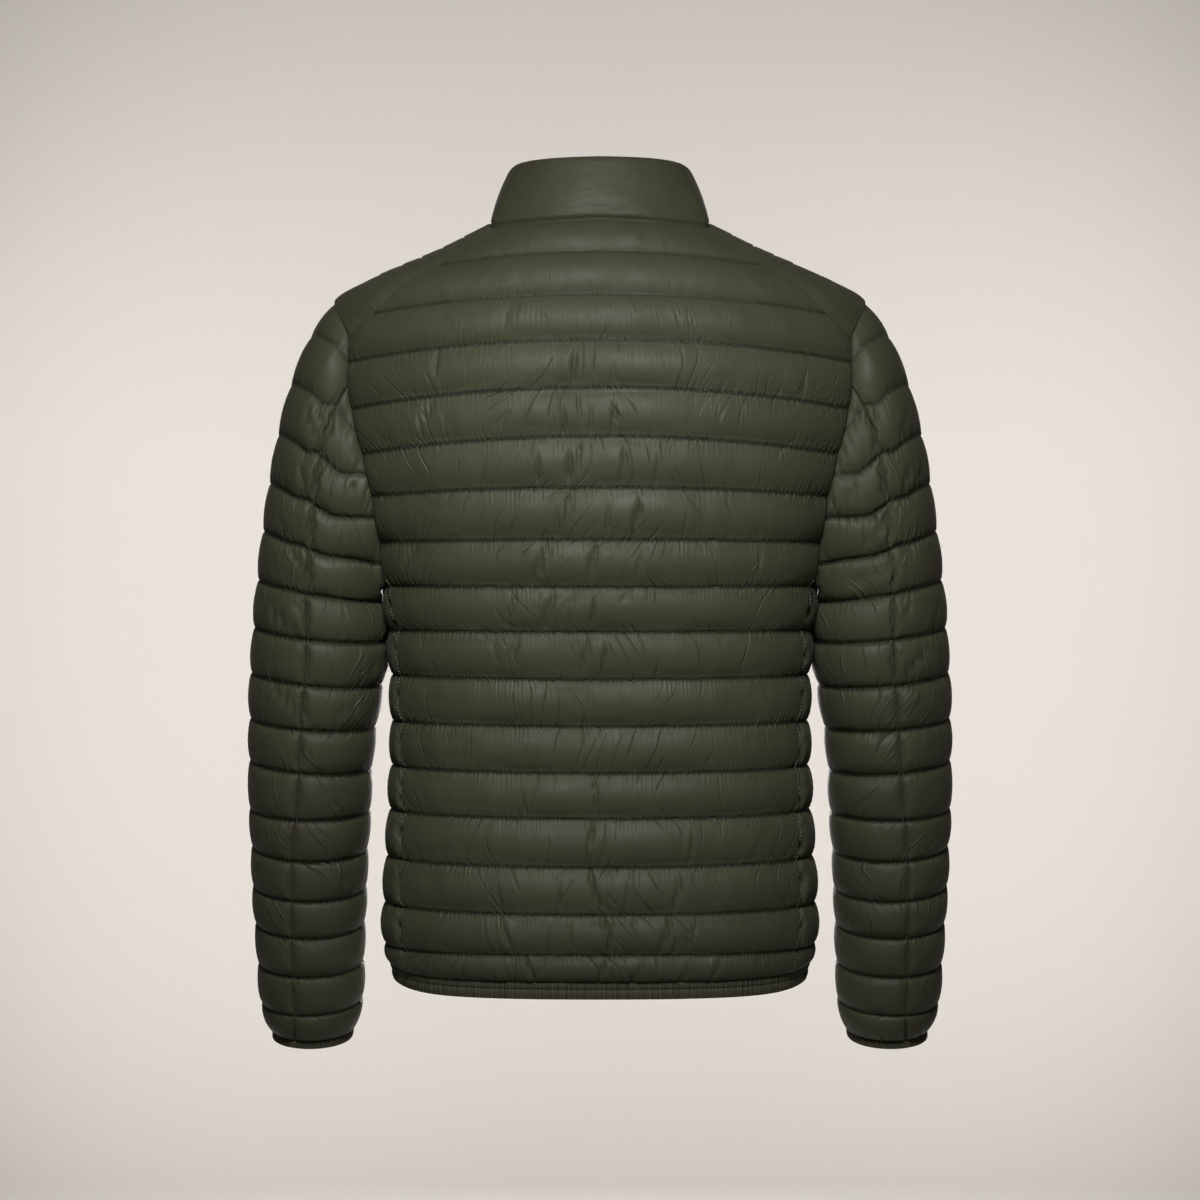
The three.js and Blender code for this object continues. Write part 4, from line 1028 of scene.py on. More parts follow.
def place_stitches(name, rows, thread="sewing_thread"):
    corners = np.concatenate(rows)
    faces = repeated(STITCH_FACES, corners)
    piece = mesh_piece(name, corners.reshape(-1, 3), faces, material(thread), smooth=False)
    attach(piece, "jacket")


# Set creases, as seen from behind: from x, z to x, z in mm, how deep, how bent
BACK_FOLDS = [
    (21, -126, 23, -153, 0.8, 1), (139, -124, 142, -140, 0.8, 1), (-12, -143, -8, -154, 0.4, 0),
    (144, -164, 156, -188, 0.7, -1), (18, -163, 17, -182, 0.5, 1), (30, -181, 33, -197, 0.9, 0),
    (-14, -177, -11, -188, 0.8, 1), (7, -180, 9, -190, 0.5, 0),
    (-178, -151, -173, -159, 0.6, 0), (52, -219, 53, -239, 0.6, 1),
    (26, -216, 29, -238, 0.9, -1), (14, -204, 18, -227, 0.5, 2), (-21, -212, -22, -224, 0.7, 1),
    (-20, -226, -16, -238, 0.7, 0), (-50, -224, -46, -238, 0.4, 0),
    (28, -245, 30, -267, 0.5, -1), (37, -267, 38, -284, 0.9, 0), (22, -254, 31, -279, 0.7, 1),
    (-8, -266, -4, -280, 0.6, 0), (-36, -256, -28, -283, 0.9, 1),
    (-74, -268, -70, -282, 0.4, 0), (39, -290, 61, -325, 1.0, 1), (32, -288, 49, -307, 0.5, 1),
    (3, -296, 10, -322, 0.9, 1), (-36, -303, -31, -318, 0.4, 1),
    (-137, -300, -136, -312, 0.5, 0), (156, -290, 168, -310, 0.6, 2),
    (39, -334, 49, -361, 0.8, 0), (72, -338, 79, -355, 0.5, 1), (5, -343, 8, -359, 0.5, 0),
    (69, -371, 81, -393, 0.7, -1), (8, -381, 16, -396, 0.5, 1), (-6, -380, -1, -398, 0.4, 0),
    (8, -492, 2, -504, 0.5, 1), (2, -504, 6, -524, 0.4, 0), (66, -512, 62, -525, 0.4, 1),
    (4, -534, 11, -553, 0.7, 0), (10, -553, 12, -568, 0.4, 0), (-81, -548, -76, -564, 0.4, 1),
    (10, -574, 6, -586, 0.8, 0), (6, -586, 0, -608, 0.8, 1), (32, -589, 35, -605, 0.4, 1),
    (87, -594, 84, -607, 0.6, 0), (-72, -585, -62, -604, 0.5, 1),
    (-24, -594, -20, -606, 0.4, 0), (1, -614, -9, -626, 0.8, 1), (-9, -626, -7, -645, 1.0, 1),
    (-56, -614, -61, -627, 0.8, -1), (-61, -627, -50, -646, 0.9, 2),
    (-83, -616, -76, -632, 0.6, -2), (-76, -632, -60, -641, 0.7, 1),
    (85, -614, 74, -643, 0.7, 2), (23, -614, 25, -642, 0.4, 1), (-28, -616, -34, -630, 0.4, 2),
    (67, -649, 56, -669, 1.0, -1), (25, -650, 25, -665, 0.6, 0), (-7, -650, 2, -669, 0.9, 1),
    (-9, -657, -11, -667, 0.6, 0), (-40, -656, -24, -669, 0.8, 0),
    (-50, -649, -50, -661, 0.7, 1), (-81, -657, -66, -669, 0.8, 1),
    (-107, -650, -94, -668, 0.9, 1), (117, -652, 118, -667, 0.7, 1),
    (81, -658, 79, -669, 0.7, 0), (-138, -650, -135, -661, 0.7, 2),
    (157, -650, 153, -661, 0.6, 1), (-146, -650, -143, -663, 0.5, 1),
    (140, -652, 143, -664, 0.4, 0),
]
FRONT_FOLDS = [
    (58, -132, 52, -158, 0.6, 1), (112, -168, 124, -194, 0.7, 1), (40, -212, 46, -236, 0.6, -1),
    (96, -250, 88, -276, 0.6, 1), (132, -252, 120, -280, 0.5, 2), (30, -296, 42, -322, 0.7, 1),
    (84, -336, 76, -362, 0.6, -1), (142, -376, 150, -404, 0.6, 1), (52, -420, 58, -444, 0.5, 0),
    (104, -460, 98, -486, 0.6, 1), (34, -500, 40, -524, 0.6, 1),
    (124, -540, 132, -566, 0.6, -1), (70, -582, 62, -606, 0.7, 1), (28, -620, 36, -643, 0.8, 1),
    (98, -618, 88, -642, 0.7, -2), (54, -652, 46, -669, 0.9, 1), (82, -650, 84, -667, 0.7, 0),
    (120, -652, 110, -668, 0.8, 1), (148, -650, 151, -664, 0.6, 0),
    (24, -652, 28, -666, 0.6, 1), (118, -21, 134, -13, 0.35, 1), (134, -31, 152, -22, 0.4, 1),
    (146, -41, 168, -29, 0.4, -1), (158, -50, 186, -38, 0.45, 1), (168, -61, 196, -50, 0.4, 1),
    (172, -73, 199, -62, 0.4, -1),
]
ARM_FOLDS = {
    "left": [
        (258, -139, 264, -150, 0.4, 0), (251, -171, 245, -190, 0.8, 1),
        (259, -171, 248, -204, 0.8, 2), (246, -204, 237, -218, 0.8, 1),
        (240, -221, 209, -243, 0.8, 2), (244, -227, 218, -250, 0.5, 1),
        (276, -292, 263, -313, 0.7, 1), (288, -213, 278, -234, 0.5, 1),
        (264, -220, 260, -243, 0.6, 1), (290, -262, 276, -278, 0.5, 0),
        (290, -350, 267, -370, 0.9, 2), (297, -350, 276, -367, 0.5, 1),
        (291, -416, 269, -441, 0.9, 1), (282, -417, 270, -435, 0.6, 1),
        (266, -441, 255, -449, 0.8, 0), (255, -450, 238, -449, 0.6, -1),
        (238, -449, 218, -433, 0.6, -2), (262, -363, 255, -373, 0.5, 0),
        (216, -407, 194, -388, 0.6, 1), (309, -534, 294, -527, 0.6, 1),
        (282, -540, 273, -547, 0.6, 0), (272, -344, 259, -356, 0.6, 1),
        (306, -446, 287, -453, 0.4, 0), (284, -675, 272, -689, 0.7, 1),
        (236, -596, 222, -588, 0.4, 0), (300, -610, 288, -618, 0.4, 1),
    ],
    "right": [
        (-279, -342, -267, -356, 0.7, 1), (-299, -344, -293, -362, 0.5, -1),
        (-289, -384, -271, -404, 0.9, 1), (-283, -388, -270, -398, 0.5, 1),
        (-247, -411, -259, -414, 0.9, 1), (-259, -414, -268, -408, 0.9, -1),
        (-268, -343, -279, -333, 0.5, 0), (-247, -543, -274, -537, 0.5, 1),
        (-277, -495, -287, -490, 0.5, 0), (-275, -441, -287, -437, 0.4, 0),
        (-220, -326, -261, -308, 0.7, 2), (-226, -432, -259, -426, 0.4, 2),
        (-245, -174, -243, -181, 0.8, 0), (-276, -161, -264, -200, 0.6, 2),
        (-239, -190, -224, -208, 0.7, 1), (-251, -171, -245, -180, 0.7, 0),
        (-276, -217, -266, -242, 0.8, 1), (-284, -213, -276, -240, 0.5, -1),
        (-233, -233, -207, -260, 0.8, 2), (-220, -233, -206, -252, 0.5, 1),
        (-257, -260, -243, -279, 0.9, 1), (-257, -265, -233, -287, 0.6, -1),
        (-276, -293, -266, -298, 0.8, 0), (-264, -262, -257, -252, 0.5, 0),
        (-262, -590, -276, -583, 0.4, 0), (-283, -676, -272, -688, 0.5, 1),
    ],
}


def body_puff(angle, low, high):
    """Full where a piece faces back or front, less round the side."""
    return low + (high - low) * np.abs(np.sin(np.radians(angle))) ** 0.8


def make_back():
    lines = channel_lines(0, LAST_LINE)
    base, across = back_grid(lines, COLUMNS["back"])
    normals = grid_normals(base)
    rng = np.random.default_rng(SEEDS["back"])
    shape = base.shape[:2]
    free = np.ones(shape)
    free[on_line(lines)] = 0
    free[:, [0, -1]] = 0
    to_edge = np.clip((1 - np.abs(across)) / 0.12, 0, 1)
    ease = 0.03 * bell(base[..., 0], 45) + 0.07 * (1 - to_edge)
    upper = np.clip((lines - 0.8) / 2.2, 0, 1)[:, None]
    angle = body_angle(base[..., 0], base[..., 2])
    underarm = bell(lines - UNDERARM_MIDDLE["body"], 1.1)[:, None]
    least, full, more = PUFF["back"]
    puff = body_puff(angle, least + more * underarm, full) * (0.72 + 0.28 * upper)
    folds = set_creases(BACK_FOLDS, base[..., 0], base[..., 2])
    gather = 0.02 + 0.07 * upper
    at_side = bell(1 - np.abs(across), 0.035) * (lines > UNDERARM_LINE)[:, None]
    outer = quilted(
        base, normals, free, (lines, at_side), puff, gather, rng, folds, ease * upper
    )
    inner = base - normals * LINING["body"]
    place_quilted("back_panel", outer, inner, "back", lines)
    rows = np.nonzero(on_line(lines))[0][1:-1]
    place_stitches("back_stitching", [stitch_row(base[r], normals[r]) for r in rows])
    low = lines > UNDERARM_LINE
    sides = [stitch_row(outer[low, c], normals[low, c], height=0.7) for c in (3, -4)]
    place_stitches("side_seam_stitching", sides, "seam_thread")


def make_front(name, sign):
    lines = channel_lines(SHOULDER_END_LINE, LAST_LINE)
    lines = np.sort(np.append(lines, UNDERARM_LINE))
    columns = COLUMNS["front"]
    base, low = front_grid(lines, columns, COLUMNS["side"])
    base = on_side(base, sign)
    normals = grid_normals(base) * sign
    shape = base.shape[:2]
    column = np.arange(shape[1])[None, :]
    above = (low < UNDERARM_LINE - TINY)[:, None]
    corner = columns - 1
    clamped = above & (column >= corner)
    normals[clamped & (column > corner)] = np.array([sign, 0, 0])
    edge_normals = grid_normals(base[:, :columns]) * sign
    normals[above[:, 0], :columns] = edge_normals[above[:, 0]]
    free = np.ones(shape)
    stitched = on_line(low) & (low > YOKE_END - TINY)
    free[stitched] = 0
    free[[0, -1]] = 0
    free[:, [0, -1]] = 0
    free[clamped] = 0
    underarm = np.nonzero(np.abs(low - UNDERARM_LINE) < TINY)[0][0]
    free[underarm, corner:] = 0
    rng = np.random.default_rng(SEEDS["front_" + name])
    shaped = np.where(low < YOKE_END, YOKE_END - 0.5, low)
    facing = np.degrees(np.arctan2(base[..., 1], np.abs(base[..., 0]) - 100))
    near_arm = bell(low - UNDERARM_MIDDLE["body"], 1.1)[:, None]
    least, full, more = PUFF["front"]
    puff = body_puff(facing, least + more * near_arm, full)
    puff = np.where(low[:, None] < YOKE_END, YOKE_PUFF, puff)
    to_edge = np.minimum(column, shape[1] - 1 - column)
    ease = 0.06 * np.clip(1 - to_edge / 14, 0, 1) + np.zeros(shape)
    # The right front's creases lie a little further in, so the two sides differ
    beside = np.abs(base[..., 0]) + 6 * (sign < 0)
    folds = set_creases(FRONT_FOLDS, beside, base[..., 2])
    at_side = bell(shape[1] - 1 - column, 3.5) * (low > UNDERARM_LINE)[:, None]
    outer = quilted(
        base, normals, free, (shaped, at_side), puff, 0.08, rng, folds, ease, sign
    )
    inner = base - normals * LINING["body"]
    keep = ~(above[1:] & (column[:, :-1] >= corner))
    keep = keep & ~(np.abs(low[1:, None] - UNDERARM_LINE) < TINY) | (column[:, :-1] < corner)
    place_quilted(
        "front_panel_" + name, outer, inner, "front_" + name, shaped, keep, turned=sign > 0
    )
    rows = []
    for r in np.nonzero(stitched)[0][:-1]:
        last = columns if low[r] < UNDERARM_LINE else shape[1]
        rows.append(stitch_row(base[r, :last], normals[r, :last]))
    place_stitches("front_stitching_" + name, rows)


def make_sleeve(name, sign):
    lines = channel_lines(0, LAST_LINE)
    angle = sleeve_angles(lines, COLUMNS["sleeve_top"], COLUMNS["sleeve_under"])
    line = lines[:, None] + np.zeros_like(angle)
    begins = armhole_line(np.mod(angle, 360))
    clamped = line <= begins
    base = on_sleeve(angle, line)
    normals = sleeve_normals(angle, np.maximum(line, begins + 0.2))
    shape = angle.shape
    last_clamped = np.maximum(clamped.sum(axis=0) - 1, 0)
    row = np.maximum(np.arange(shape[0])[:, None], last_clamped[None, :])
    ids = row * shape[1] + np.arange(shape[1])[None, :]
    base = on_side(base.reshape(-1, 3)[ids], sign)
    normals = on_side(normals.reshape(-1, 3)[ids], sign)
    hind = COLUMNS["sleeve_top"] - 1
    free = np.ones(shape)
    free[on_line(lines)] = 0
    free[clamped] = 0
    free[:, [0, hind, shape[1] - 1]] = 0
    rng = np.random.default_rng(SEEDS["sleeve_" + name])
    column = np.arange(shape[1])[None, :]
    to_seam = np.minimum(np.abs(column - hind), np.minimum(column, shape[1] - 1 - column))
    gathered = bell(lines - 4.5, 3.0)[:, None]
    ease = 0.07 * bell(to_seam, 9) * (0.35 + gathered)
    from_armhole = np.clip((line - begins) / 0.8, 0, 1)
    elbow = bell(lines - 7.5, 2.5)[:, None]
    underarm = bell(lines - UNDERARM_MIDDLE["sleeve"], 1.02)[:, None]
    inner_side = np.clip(-np.cos(np.radians(angle)), 0, 1)
    least, full, more = PUFF["sleeve"]
    puff = body_puff(angle, least + 0.8 * elbow, full) + more * underarm * inner_side
    puff = puff * (0.4 + 0.6 * from_armhole) * np.clip(0.7 + to_seam / 14, 0, 1)
    folds = set_creases(ARM_FOLDS[name], base[..., 0], base[..., 2], strength=1.6)
    gather = 0.03 + 0.05 * gathered
    # The sleeve stands off its form at the underarm, where it lies against the body
    press = 5.4 * underarm * inner_side * from_armhole
    base = base + normals * press[..., None]
    at_hind = bell(column - hind, 4.5) * (0.15 + 0.85 * gathered)
    outer = quilted(
        base, normals, free, (lines, at_hind), puff, gather, rng, folds, ease, sign
    )
    inner = base - normals * (LINING["sleeve"] + press)[..., None]
    for part, first, last in (("top", 0, hind), ("under", hind, shape[1] - 1)):
        keep = np.zeros((shape[0] - 1, shape[1] - 1), bool)
        keep[:, first:last] = True
        place_quilted(
            "sleeve_" + part + "_" + name + "_panel", outer, inner,
            "sleeve_" + part + "_" + name, lines, keep, ids, sign > 0,
        )
    rows = []
    for r in np.nonzero(on_line(lines))[0][1:-1]:
        for first, last in ((0, hind), (hind, shape[1] - 1)):
            shown = np.nonzero(~clamped[r, first:last + 1])[0] + first
            if len(shown) > 3:
                rows.append(stitch_row(base[r, shown], normals[r, shown]))
    place_stitches("sleeve_stitching_" + name, rows)
    shown = lines > 2.2
    seam = [stitch_row(outer[shown, hind + 1], normals[shown, hind + 1], height=0.3)]
    place_stitches("hind_seam_stitching_" + name, seam, "seam_thread")


def closed_loop(name, grid, material, flip):
    """A closed tube from rows round it and columns along it, with flat ends."""
    rows, columns = grid.shape[:2]
    ids = np.arange(rows * columns).reshape(rows, columns)
    ids = np.concatenate([ids, ids[:1]])
    first, last = ids[:-1, 0], ids[:-1, -1][::-1]
    ends = [
        np.stack([np.full(rows - 2, end[0]), end[1:-1], end[2:]], axis=1) for end in (first, last)
    ]
    faces = np.concatenate([grid_triangles(ids), *ends])
    if flip:
        faces = faces[:, ::-1]
    places = places_on_cloth(grid, None).reshape(-1, 2)
    return mesh_piece(name, grid.reshape(-1, 3), faces, material, sharp=SHARP_EDGE, places=places)


def both_sides(points):
    """Rows of the left half, from the front edge to the middle of the back, then the right."""
    return np.concatenate([points, on_side(points[:, -2::-1], -1)], axis=1)


def collar_row(angle, height, inwards):
    """A level row of the collar, so far inside its outer face, and its normals."""
    step = 0.5
    around = collar_point(angle + step, height) - collar_point(angle - step, height)
    up = collar_point(angle, height + 0.04) - collar_point(angle, height - 0.04)
    normal = np.cross(around, up)
    normal[..., 0] = np.where(angle < COLLAR_STRAIGHT, 0, normal[..., 0])
    return collar_point(angle, height) - unit(normal) * inwards, unit(normal)


def make_collar():
    half = np.linspace(COLLAR_START, 90, 151)
    wall = np.interp(half, [-90, -84, -70], [3.0, 3.4, 5.0])[:, None]
    tall = 0.955
    rows = [collar_row(half, height, 0)[0] for height in np.linspace(0, tall, 30)]
    point, normal = collar_row(half, tall, 0)
    for turn in np.radians(np.arange(22.5, 180, 22.5)):
        rise = np.array([0, 0, 1]) * wall / 2 * math.sin(turn)
        rows.append(point - normal * wall / 2 * (1 - math.cos(turn)) + rise)
    rows += [collar_row(half, height, wall)[0] for height in np.linspace(tall, 0, 14)]
    grid = both_sides(np.array(rows))
    normals = grid_normals(grid)
    outer_row, back_column = 12, grid.shape[1] // 2
    flip = 1 if normals[outer_row, back_column, 1] > 0 else -1
    normals = normals * flip
    shape = grid.shape[:2]
    free = np.ones(shape)
    free[[0, 1, -1]] = 0
    free[:, [0, -1]] = 0
    rng = np.random.default_rng(SEEDS["collar"])
    ease = 1 + 0.006 + 0.012 * soft_noise(shape, (9, 16), rng)
    tall_ease = 1 + 0.02 + 0.03 * soft_noise(shape, (6, 30), rng)
    seed = 0.5 * soft_noise(shape, (4, 22), rng) + 0.3 * soft_noise(shape, (3, 9), rng)
    settings = dict(CLOTH, flip=flip, highest=2.5, lowest=-1.0, pressure=0.006, rounds=160)
    grid = settle(grid, normals, free, ease, tall_ease, settings, seed * free)
    piece = closed_loop("stand_collar", grid, material("collar_nylon"), flip < 0)
    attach(piece, "jacket")
    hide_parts("collar")


def evenly(points, pitch):
    """The same path with points that far apart."""
    walked = walked_along(points)
    at = np.linspace(0, walked[-1], int(walked[-1] / pitch) + 1)
    return taken_at(at, walked, points), at


def band_relief(walked, share, rng, pitch, rise):
    """Small gathers along a band: none on its stitched rows, most between them."""
    wander = np.cumsum(rng.normal(0, 0.05, len(walked)))
    ribs = np.sin(2 * np.pi * walked / pitch + wander)
    ribs += 0.5 * np.sin(2 * np.pi * walked / (pitch * 1.7) + 2 * wander)
    return rise * ribs[None, :] * share[:, None]


def make_hem():
    start = float(body_angle(BAND_END, BAND_TOP, -1))
    half = on_body(np.linspace(start, 90, 1500), BAND_TOP)
    path = np.concatenate([half, on_side(half[-2::-1], -1)])
    path, walked = evenly(path, 0.85)
    angle = body_angle(path[:, 0], BAND_TOP, 1) * np.where(path[:, 1] >= 0, 1, -1)
    rise = hem_rise(LAST_LINE, path[:, 0])
    levels = np.array([0, 0.06, 0.16, 0.28, 0.38, 0.43, 0.48, 0.58, 0.7, 0.82, 0.92, 1.0])
    # A row of stitches pulls the band in a little above its middle
    stitched = [0, 0.2, 0.38, 0.43, 0.48, 0.7, 1.0]
    puff = np.interp(levels, stitched, [0, 0.9, 0.5, -0.1, 0.5, 1.1, 0.3])
    share = np.interp(levels, [0, 0.15, 0.43, 0.6, 1.0], [0.6, 1, 0.5, 0.9, 0.35])
    rng = np.random.default_rng(SEEDS["hem"])
    z = BAND_TOP + (BAND_BOTTOM - BAND_TOP) * levels
    base = np.stack([on_body(angle, level + rise) for level in z])
    normals = grid_normals(base)
    if normals[0, len(angle) // 2, 1] < 0:
        normals = -normals
    ends = 8
    normals[:, :ends] = normals[:, -ends:] = np.array([0, -1, 0])
    relief_height = band_relief(walked, share, rng, 2.9, 0.34)
    outer = base + normals * (puff[:, None] + relief_height)[..., None]
    inner = base - normals * LINING["hem"]
    piece = shell("hem_binding", outer, inner, material("hem_binding"))
    fix_facing(piece)
    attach(piece, "jacket")
    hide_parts("hem_band")
    rows = [stitch_row(base[5], normals[5], length=2.2, height=0.35)]
    place_stitches("hem_stitching", rows)


def fix_facing(piece):
    """Turns a closed piece's faces outwards."""
    mesh = piece.data
    count = len(mesh.vertices)
    points = np.empty(count * 3)
    mesh.vertices.foreach_get("co", points)
    points = points.reshape(-1, 3)
    mesh.calc_loop_triangles()
    corners = np.empty(len(mesh.loop_triangles) * 3, np.int32)
    mesh.loop_triangles.foreach_get("vertices", corners)
    a, b, c = (points[corners[i::3]] for i in range(3))
    if np.einsum("ij,ij->i", a, np.cross(b, c)).sum() < 0:
        mesh.flip_normals()


def make_cuff(name, sign):
    angle = np.linspace(0, 360, 300)
    levels = np.array([0, 0.08, 0.25, 0.5, 0.75, 0.92, 1.0])
    ring = on_sleeve(angle, np.full_like(angle, LAST_LINE))
    base = np.stack([ring + SLEEVE_AXIS * CUFF_BAND * level for level in levels])
    centre = ring[:-1].mean(axis=0)
    out = ring - centre
    out = unit(out - SLEEVE_AXIS * (out @ SLEEVE_AXIS)[:, None])
    normals = np.repeat(out[None], len(levels), axis=0)
    puff = np.array([0, 0.35, 0.7, 0.8, 0.7, 0.35, 0.0])
    share = np.array([0.5, 0.9, 1, 0.9, 0.7, 0.4, 0.2])
    rng = np.random.default_rng(SEEDS["cuff_" + name])
    radius = 37
    ribs = band_relief(np.radians(angle) * radius, share, rng, 3.3, 0.16)
    blend = np.clip(np.minimum(angle, 360 - angle) / 8, 0, 1)
    outer = base + normals * (puff[:, None] + ribs * blend)[..., None]
    inner = base - normals * LINING["cuff"]
    grid = on_side(np.concatenate([outer, inner[::-1]])[:, :-1], sign)
    rows, columns = grid.shape[:2]
    ids = np.arange(rows * columns).reshape(rows, columns)
    ids = np.concatenate([ids, ids[:1]])
    ids = np.concatenate([ids, ids[:, :1]], axis=1)
    piece = mesh_piece(
        "cuff_binding_" + name, grid.reshape(-1, 3), grid_triangles(ids),
        material("hem_binding"), sharp=SHARP_EDGE,
        places=places_on_cloth(grid, None).reshape(-1, 2),
    )
    fix_facing(piece)
    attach(piece, "jacket")
    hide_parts("cuff_band_" + name)


# The zip: its foot above the hem's edge, the neck, its top on the collar, and how deep it lies
ZIP = {"foot": 9.05, "neck": -93, "top": 0.97, "in_body": 2.6, "in_collar": 4.4, "tape": 0.8}


def zip_path():
    """Line of the closed zip from the foot to the top of the collar, with the cloth's depth."""
    low = np.arange(BAND_BOTTOM + ZIP["foot"], ZIP["neck"], 4.0)
    body = np.stack([0 * low, -front_depth(low), low], axis=-1)
    heights = np.linspace(0, ZIP["top"], 16)
    collar = collar_point(np.full_like(heights, -90), heights)
    collar[:, 0] = 0
    depth = np.repeat([ZIP["in_body"], ZIP["in_collar"]], [len(low), len(heights)])
    return np.concatenate([body, collar]), depth


# Section of a tape: distance from the middle and rise
TAPE = [(0.15, -0.9), (10, -0.9), (10, 0), (6.5, 0.12), (3.2, 0.1), (0.9, 0.35), (0.15, 0.3)]
# Levels of a tooth: rise, half its width there, and where it begins and ends across
TOOTH = [(0.2, 0.8, 0.2, 2.9), (2.2, 0.75, -0.9, 2.7), (3.0, 0.45, -0.6, 2.2)]
TOOTH_FACES = np.array([
    (0, 1, 3, 2), (0, 4, 5, 1), (2, 3, 7, 6), (1, 5, 7, 3), (0, 2, 6, 4),
    (4, 8, 9, 5), (6, 7, 11, 10), (5, 9, 11, 7), (4, 6, 10, 8), (8, 10, 11, 9),
])
TOOTH_PITCH = 2.3


def make_zip():
    path, depth = zip_path()
    along = unit(np.gradient(path, axis=0))
    out = unit(np.stack([0 * along[:, 0], -along[:, 2], along[:, 1]], axis=-1))
    face = path - out * (depth + ZIP["tape"])[:, None]
    for name, sign in SIDES:
        grid = np.stack([face + out * rise + np.array([sign * x, 0, 0]) for x, rise in TAPE])
        piece = closed_loop("zip_tape_weave_" + name, grid, material("zip_tape_weave"), False)
        fix_facing(piece)
        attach(piece, "jacket")
        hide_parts("zip_tape_" + name)
        even, _ = evenly(face, TOOTH_PITCH)
        way = unit(np.gradient(even, axis=0))
        away = unit(np.stack([0 * way[:, 0], -way[:, 2], way[:, 1]], axis=-1))
        shift = 0.25 if sign > 0 else 0.75
        place = even[:-1] + (even[1:] - even[:-1]) * shift
        teeth = []
        for corner_out, half, *reach in TOOTH:
            for x in reach:
                for step in (-half, half):
                    corner = place + away[:-1] * corner_out + way[:-1] * step
                    teeth.append(corner + np.array([sign * x, 0, 0]))
        corners = np.stack(teeth, axis=1)
        chain = mesh_piece(
            "zip_teeth_" + name, corners.reshape(-1, 3), repeated(TOOTH_FACES, corners),
            material("zip_teeth"), smooth=False,
        )
        fix_facing(chain)
        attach(chain, "jacket")
    for node in ("zip_slider", "zip_pull", "zip_box"):
        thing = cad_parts[node]
        thing.data.materials.clear()
        thing.data.materials.append(material("zip_hardware"))


# Stage


def aimed_light(name, kind, place, target, power, **settings):
    """A light that shines from one point toward another."""
    data = bpy.data.lights.new(name, kind)
    data.energy = power
    for key, value in settings.items():
        setattr(data, key, value)
    light = bpy.data.objects.new(name, data)
    light.location = place
    aim = Vector(target) - Vector(place)
    light.rotation_euler = aim.to_track_quat("-Z", "Y").to_euler()
    bpy.context.scene.collection.objects.link(light)
    return light


def area_light(name, place, target, size, power, spread=180):
    shape = {"shape": "RECTANGLE", "size": size[0], "size_y": size[1]}
    light = aimed_light(name, "AREA", place, target, power, spread=math.radians(spread), **shape)
    light.visible_camera = False


def make_stage():
    scene = bpy.context.scene
    look = scene.jacket_stage
    data = bpy.data.cameras.new("camera")
    data.lens = 100
    data.sensor_width = 36
    camera = bpy.data.objects.new("camera", data)
    camera.location = (0, 3.0, -0.34)
    camera.rotation_euler = (math.radians(90), 0, math.radians(180))
    scene.collection.objects.link(camera)
    scene.camera = camera
    # A pale sweep: floor, curve and wall in one
    steps = 16
    floor, wall, reach, radius = -1.52, -3.4, 2.2, 1.48
    high, half_width = 6.0, 7
    profile = [(reach, floor), (wall + radius, floor)]
    for i in range(1, steps):
        a = math.pi / 2 * i / steps
        along, up = radius * (1 - math.sin(a)), radius * (1 - math.cos(a))
        profile.append((wall + along, floor + up))
    profile += [(wall, floor + radius), (wall, high)]
    points = [(x / MM, y / MM, z / MM) for y, z in profile for x in (-half_width, half_width)]
    faces = np.array([(0, 1, 3, 2)]) + 2 * np.arange(len(profile) - 1)[:, None]
    paper = bpy.data.materials.new("paper_sweep")
    paper.use_nodes = True
    surface = paper.node_tree.nodes["Principled BSDF"]
    colour = (0.87, 0.82, 0.76, 1)
    set_sockets(paper.node_tree, surface, {"Base Color": colour, "Roughness": 0.9})
    sweep = mesh_piece("paper_sweep", points, faces, paper)
    world = bpy.data.worlds.new("studio")
    scene.world = world
    world.use_nodes = True
    tree = world.node_tree
    air = tree.nodes["Background"]
    set_sockets(tree, air, {"Color": (1.0, 0.98, 0.95, 1), "Strength": look.air})
    # Past the sweep's edges the room looks as pale as the sweep
    room = add_node(tree, "Background", {0: (0.72, 0.69, 0.65, 1), 1: 1.0})
    seen = add_node(tree, "LightPath").outputs["Is Camera Ray"]
    both = add_node(tree, "MixShader", {0: seen, 1: air.outputs[0], 2: room.outputs[0]})
    set_sockets(tree, tree.nodes["World Output"], {"Surface": both.outputs[0]})
    area_light("main_light", (0.04, 1.3, 0.5), (0, 0, -0.38), (0.5, 0.35), look.key, 75)
    area_light("broad_light", (0, 2.8, 0.9), (0, 0, -0.3), (1.6, 1.0), look.low)
    area_light("front_light", (0, -2.6, -0.2), (0, 0, -0.3), (0.8, 0.8), look.front)
    cone = {"spot_size": math.radians(120), "spot_blend": 1.0, "shadow_soft_size": 0.25}
    for name, x in (("wall_light_left", 1.66), ("wall_light_right", -1.66)):
        place, target = (x, -1.49, -0.094), (-0.2 * x, wall, -0.094)
        aimed_light(name, "SPOT", place, target, look.wall, **cone)
    scene.view_settings.view_transform = "Standard"
    scene.view_settings.look = "None"


# Settings


class JacketCloth(bpy.types.PropertyGroup):
    puff: bpy.props.FloatProperty(
        name="Puff", description="Height of the quilted channels, 1 as made", default=1,
        min=0.3, max=1.5,
    )
    gather: bpy.props.FloatProperty(
        name="Gather", description="Fullness at the stitch lines, 1 as made", default=1,
        min=0, max=2,
    )


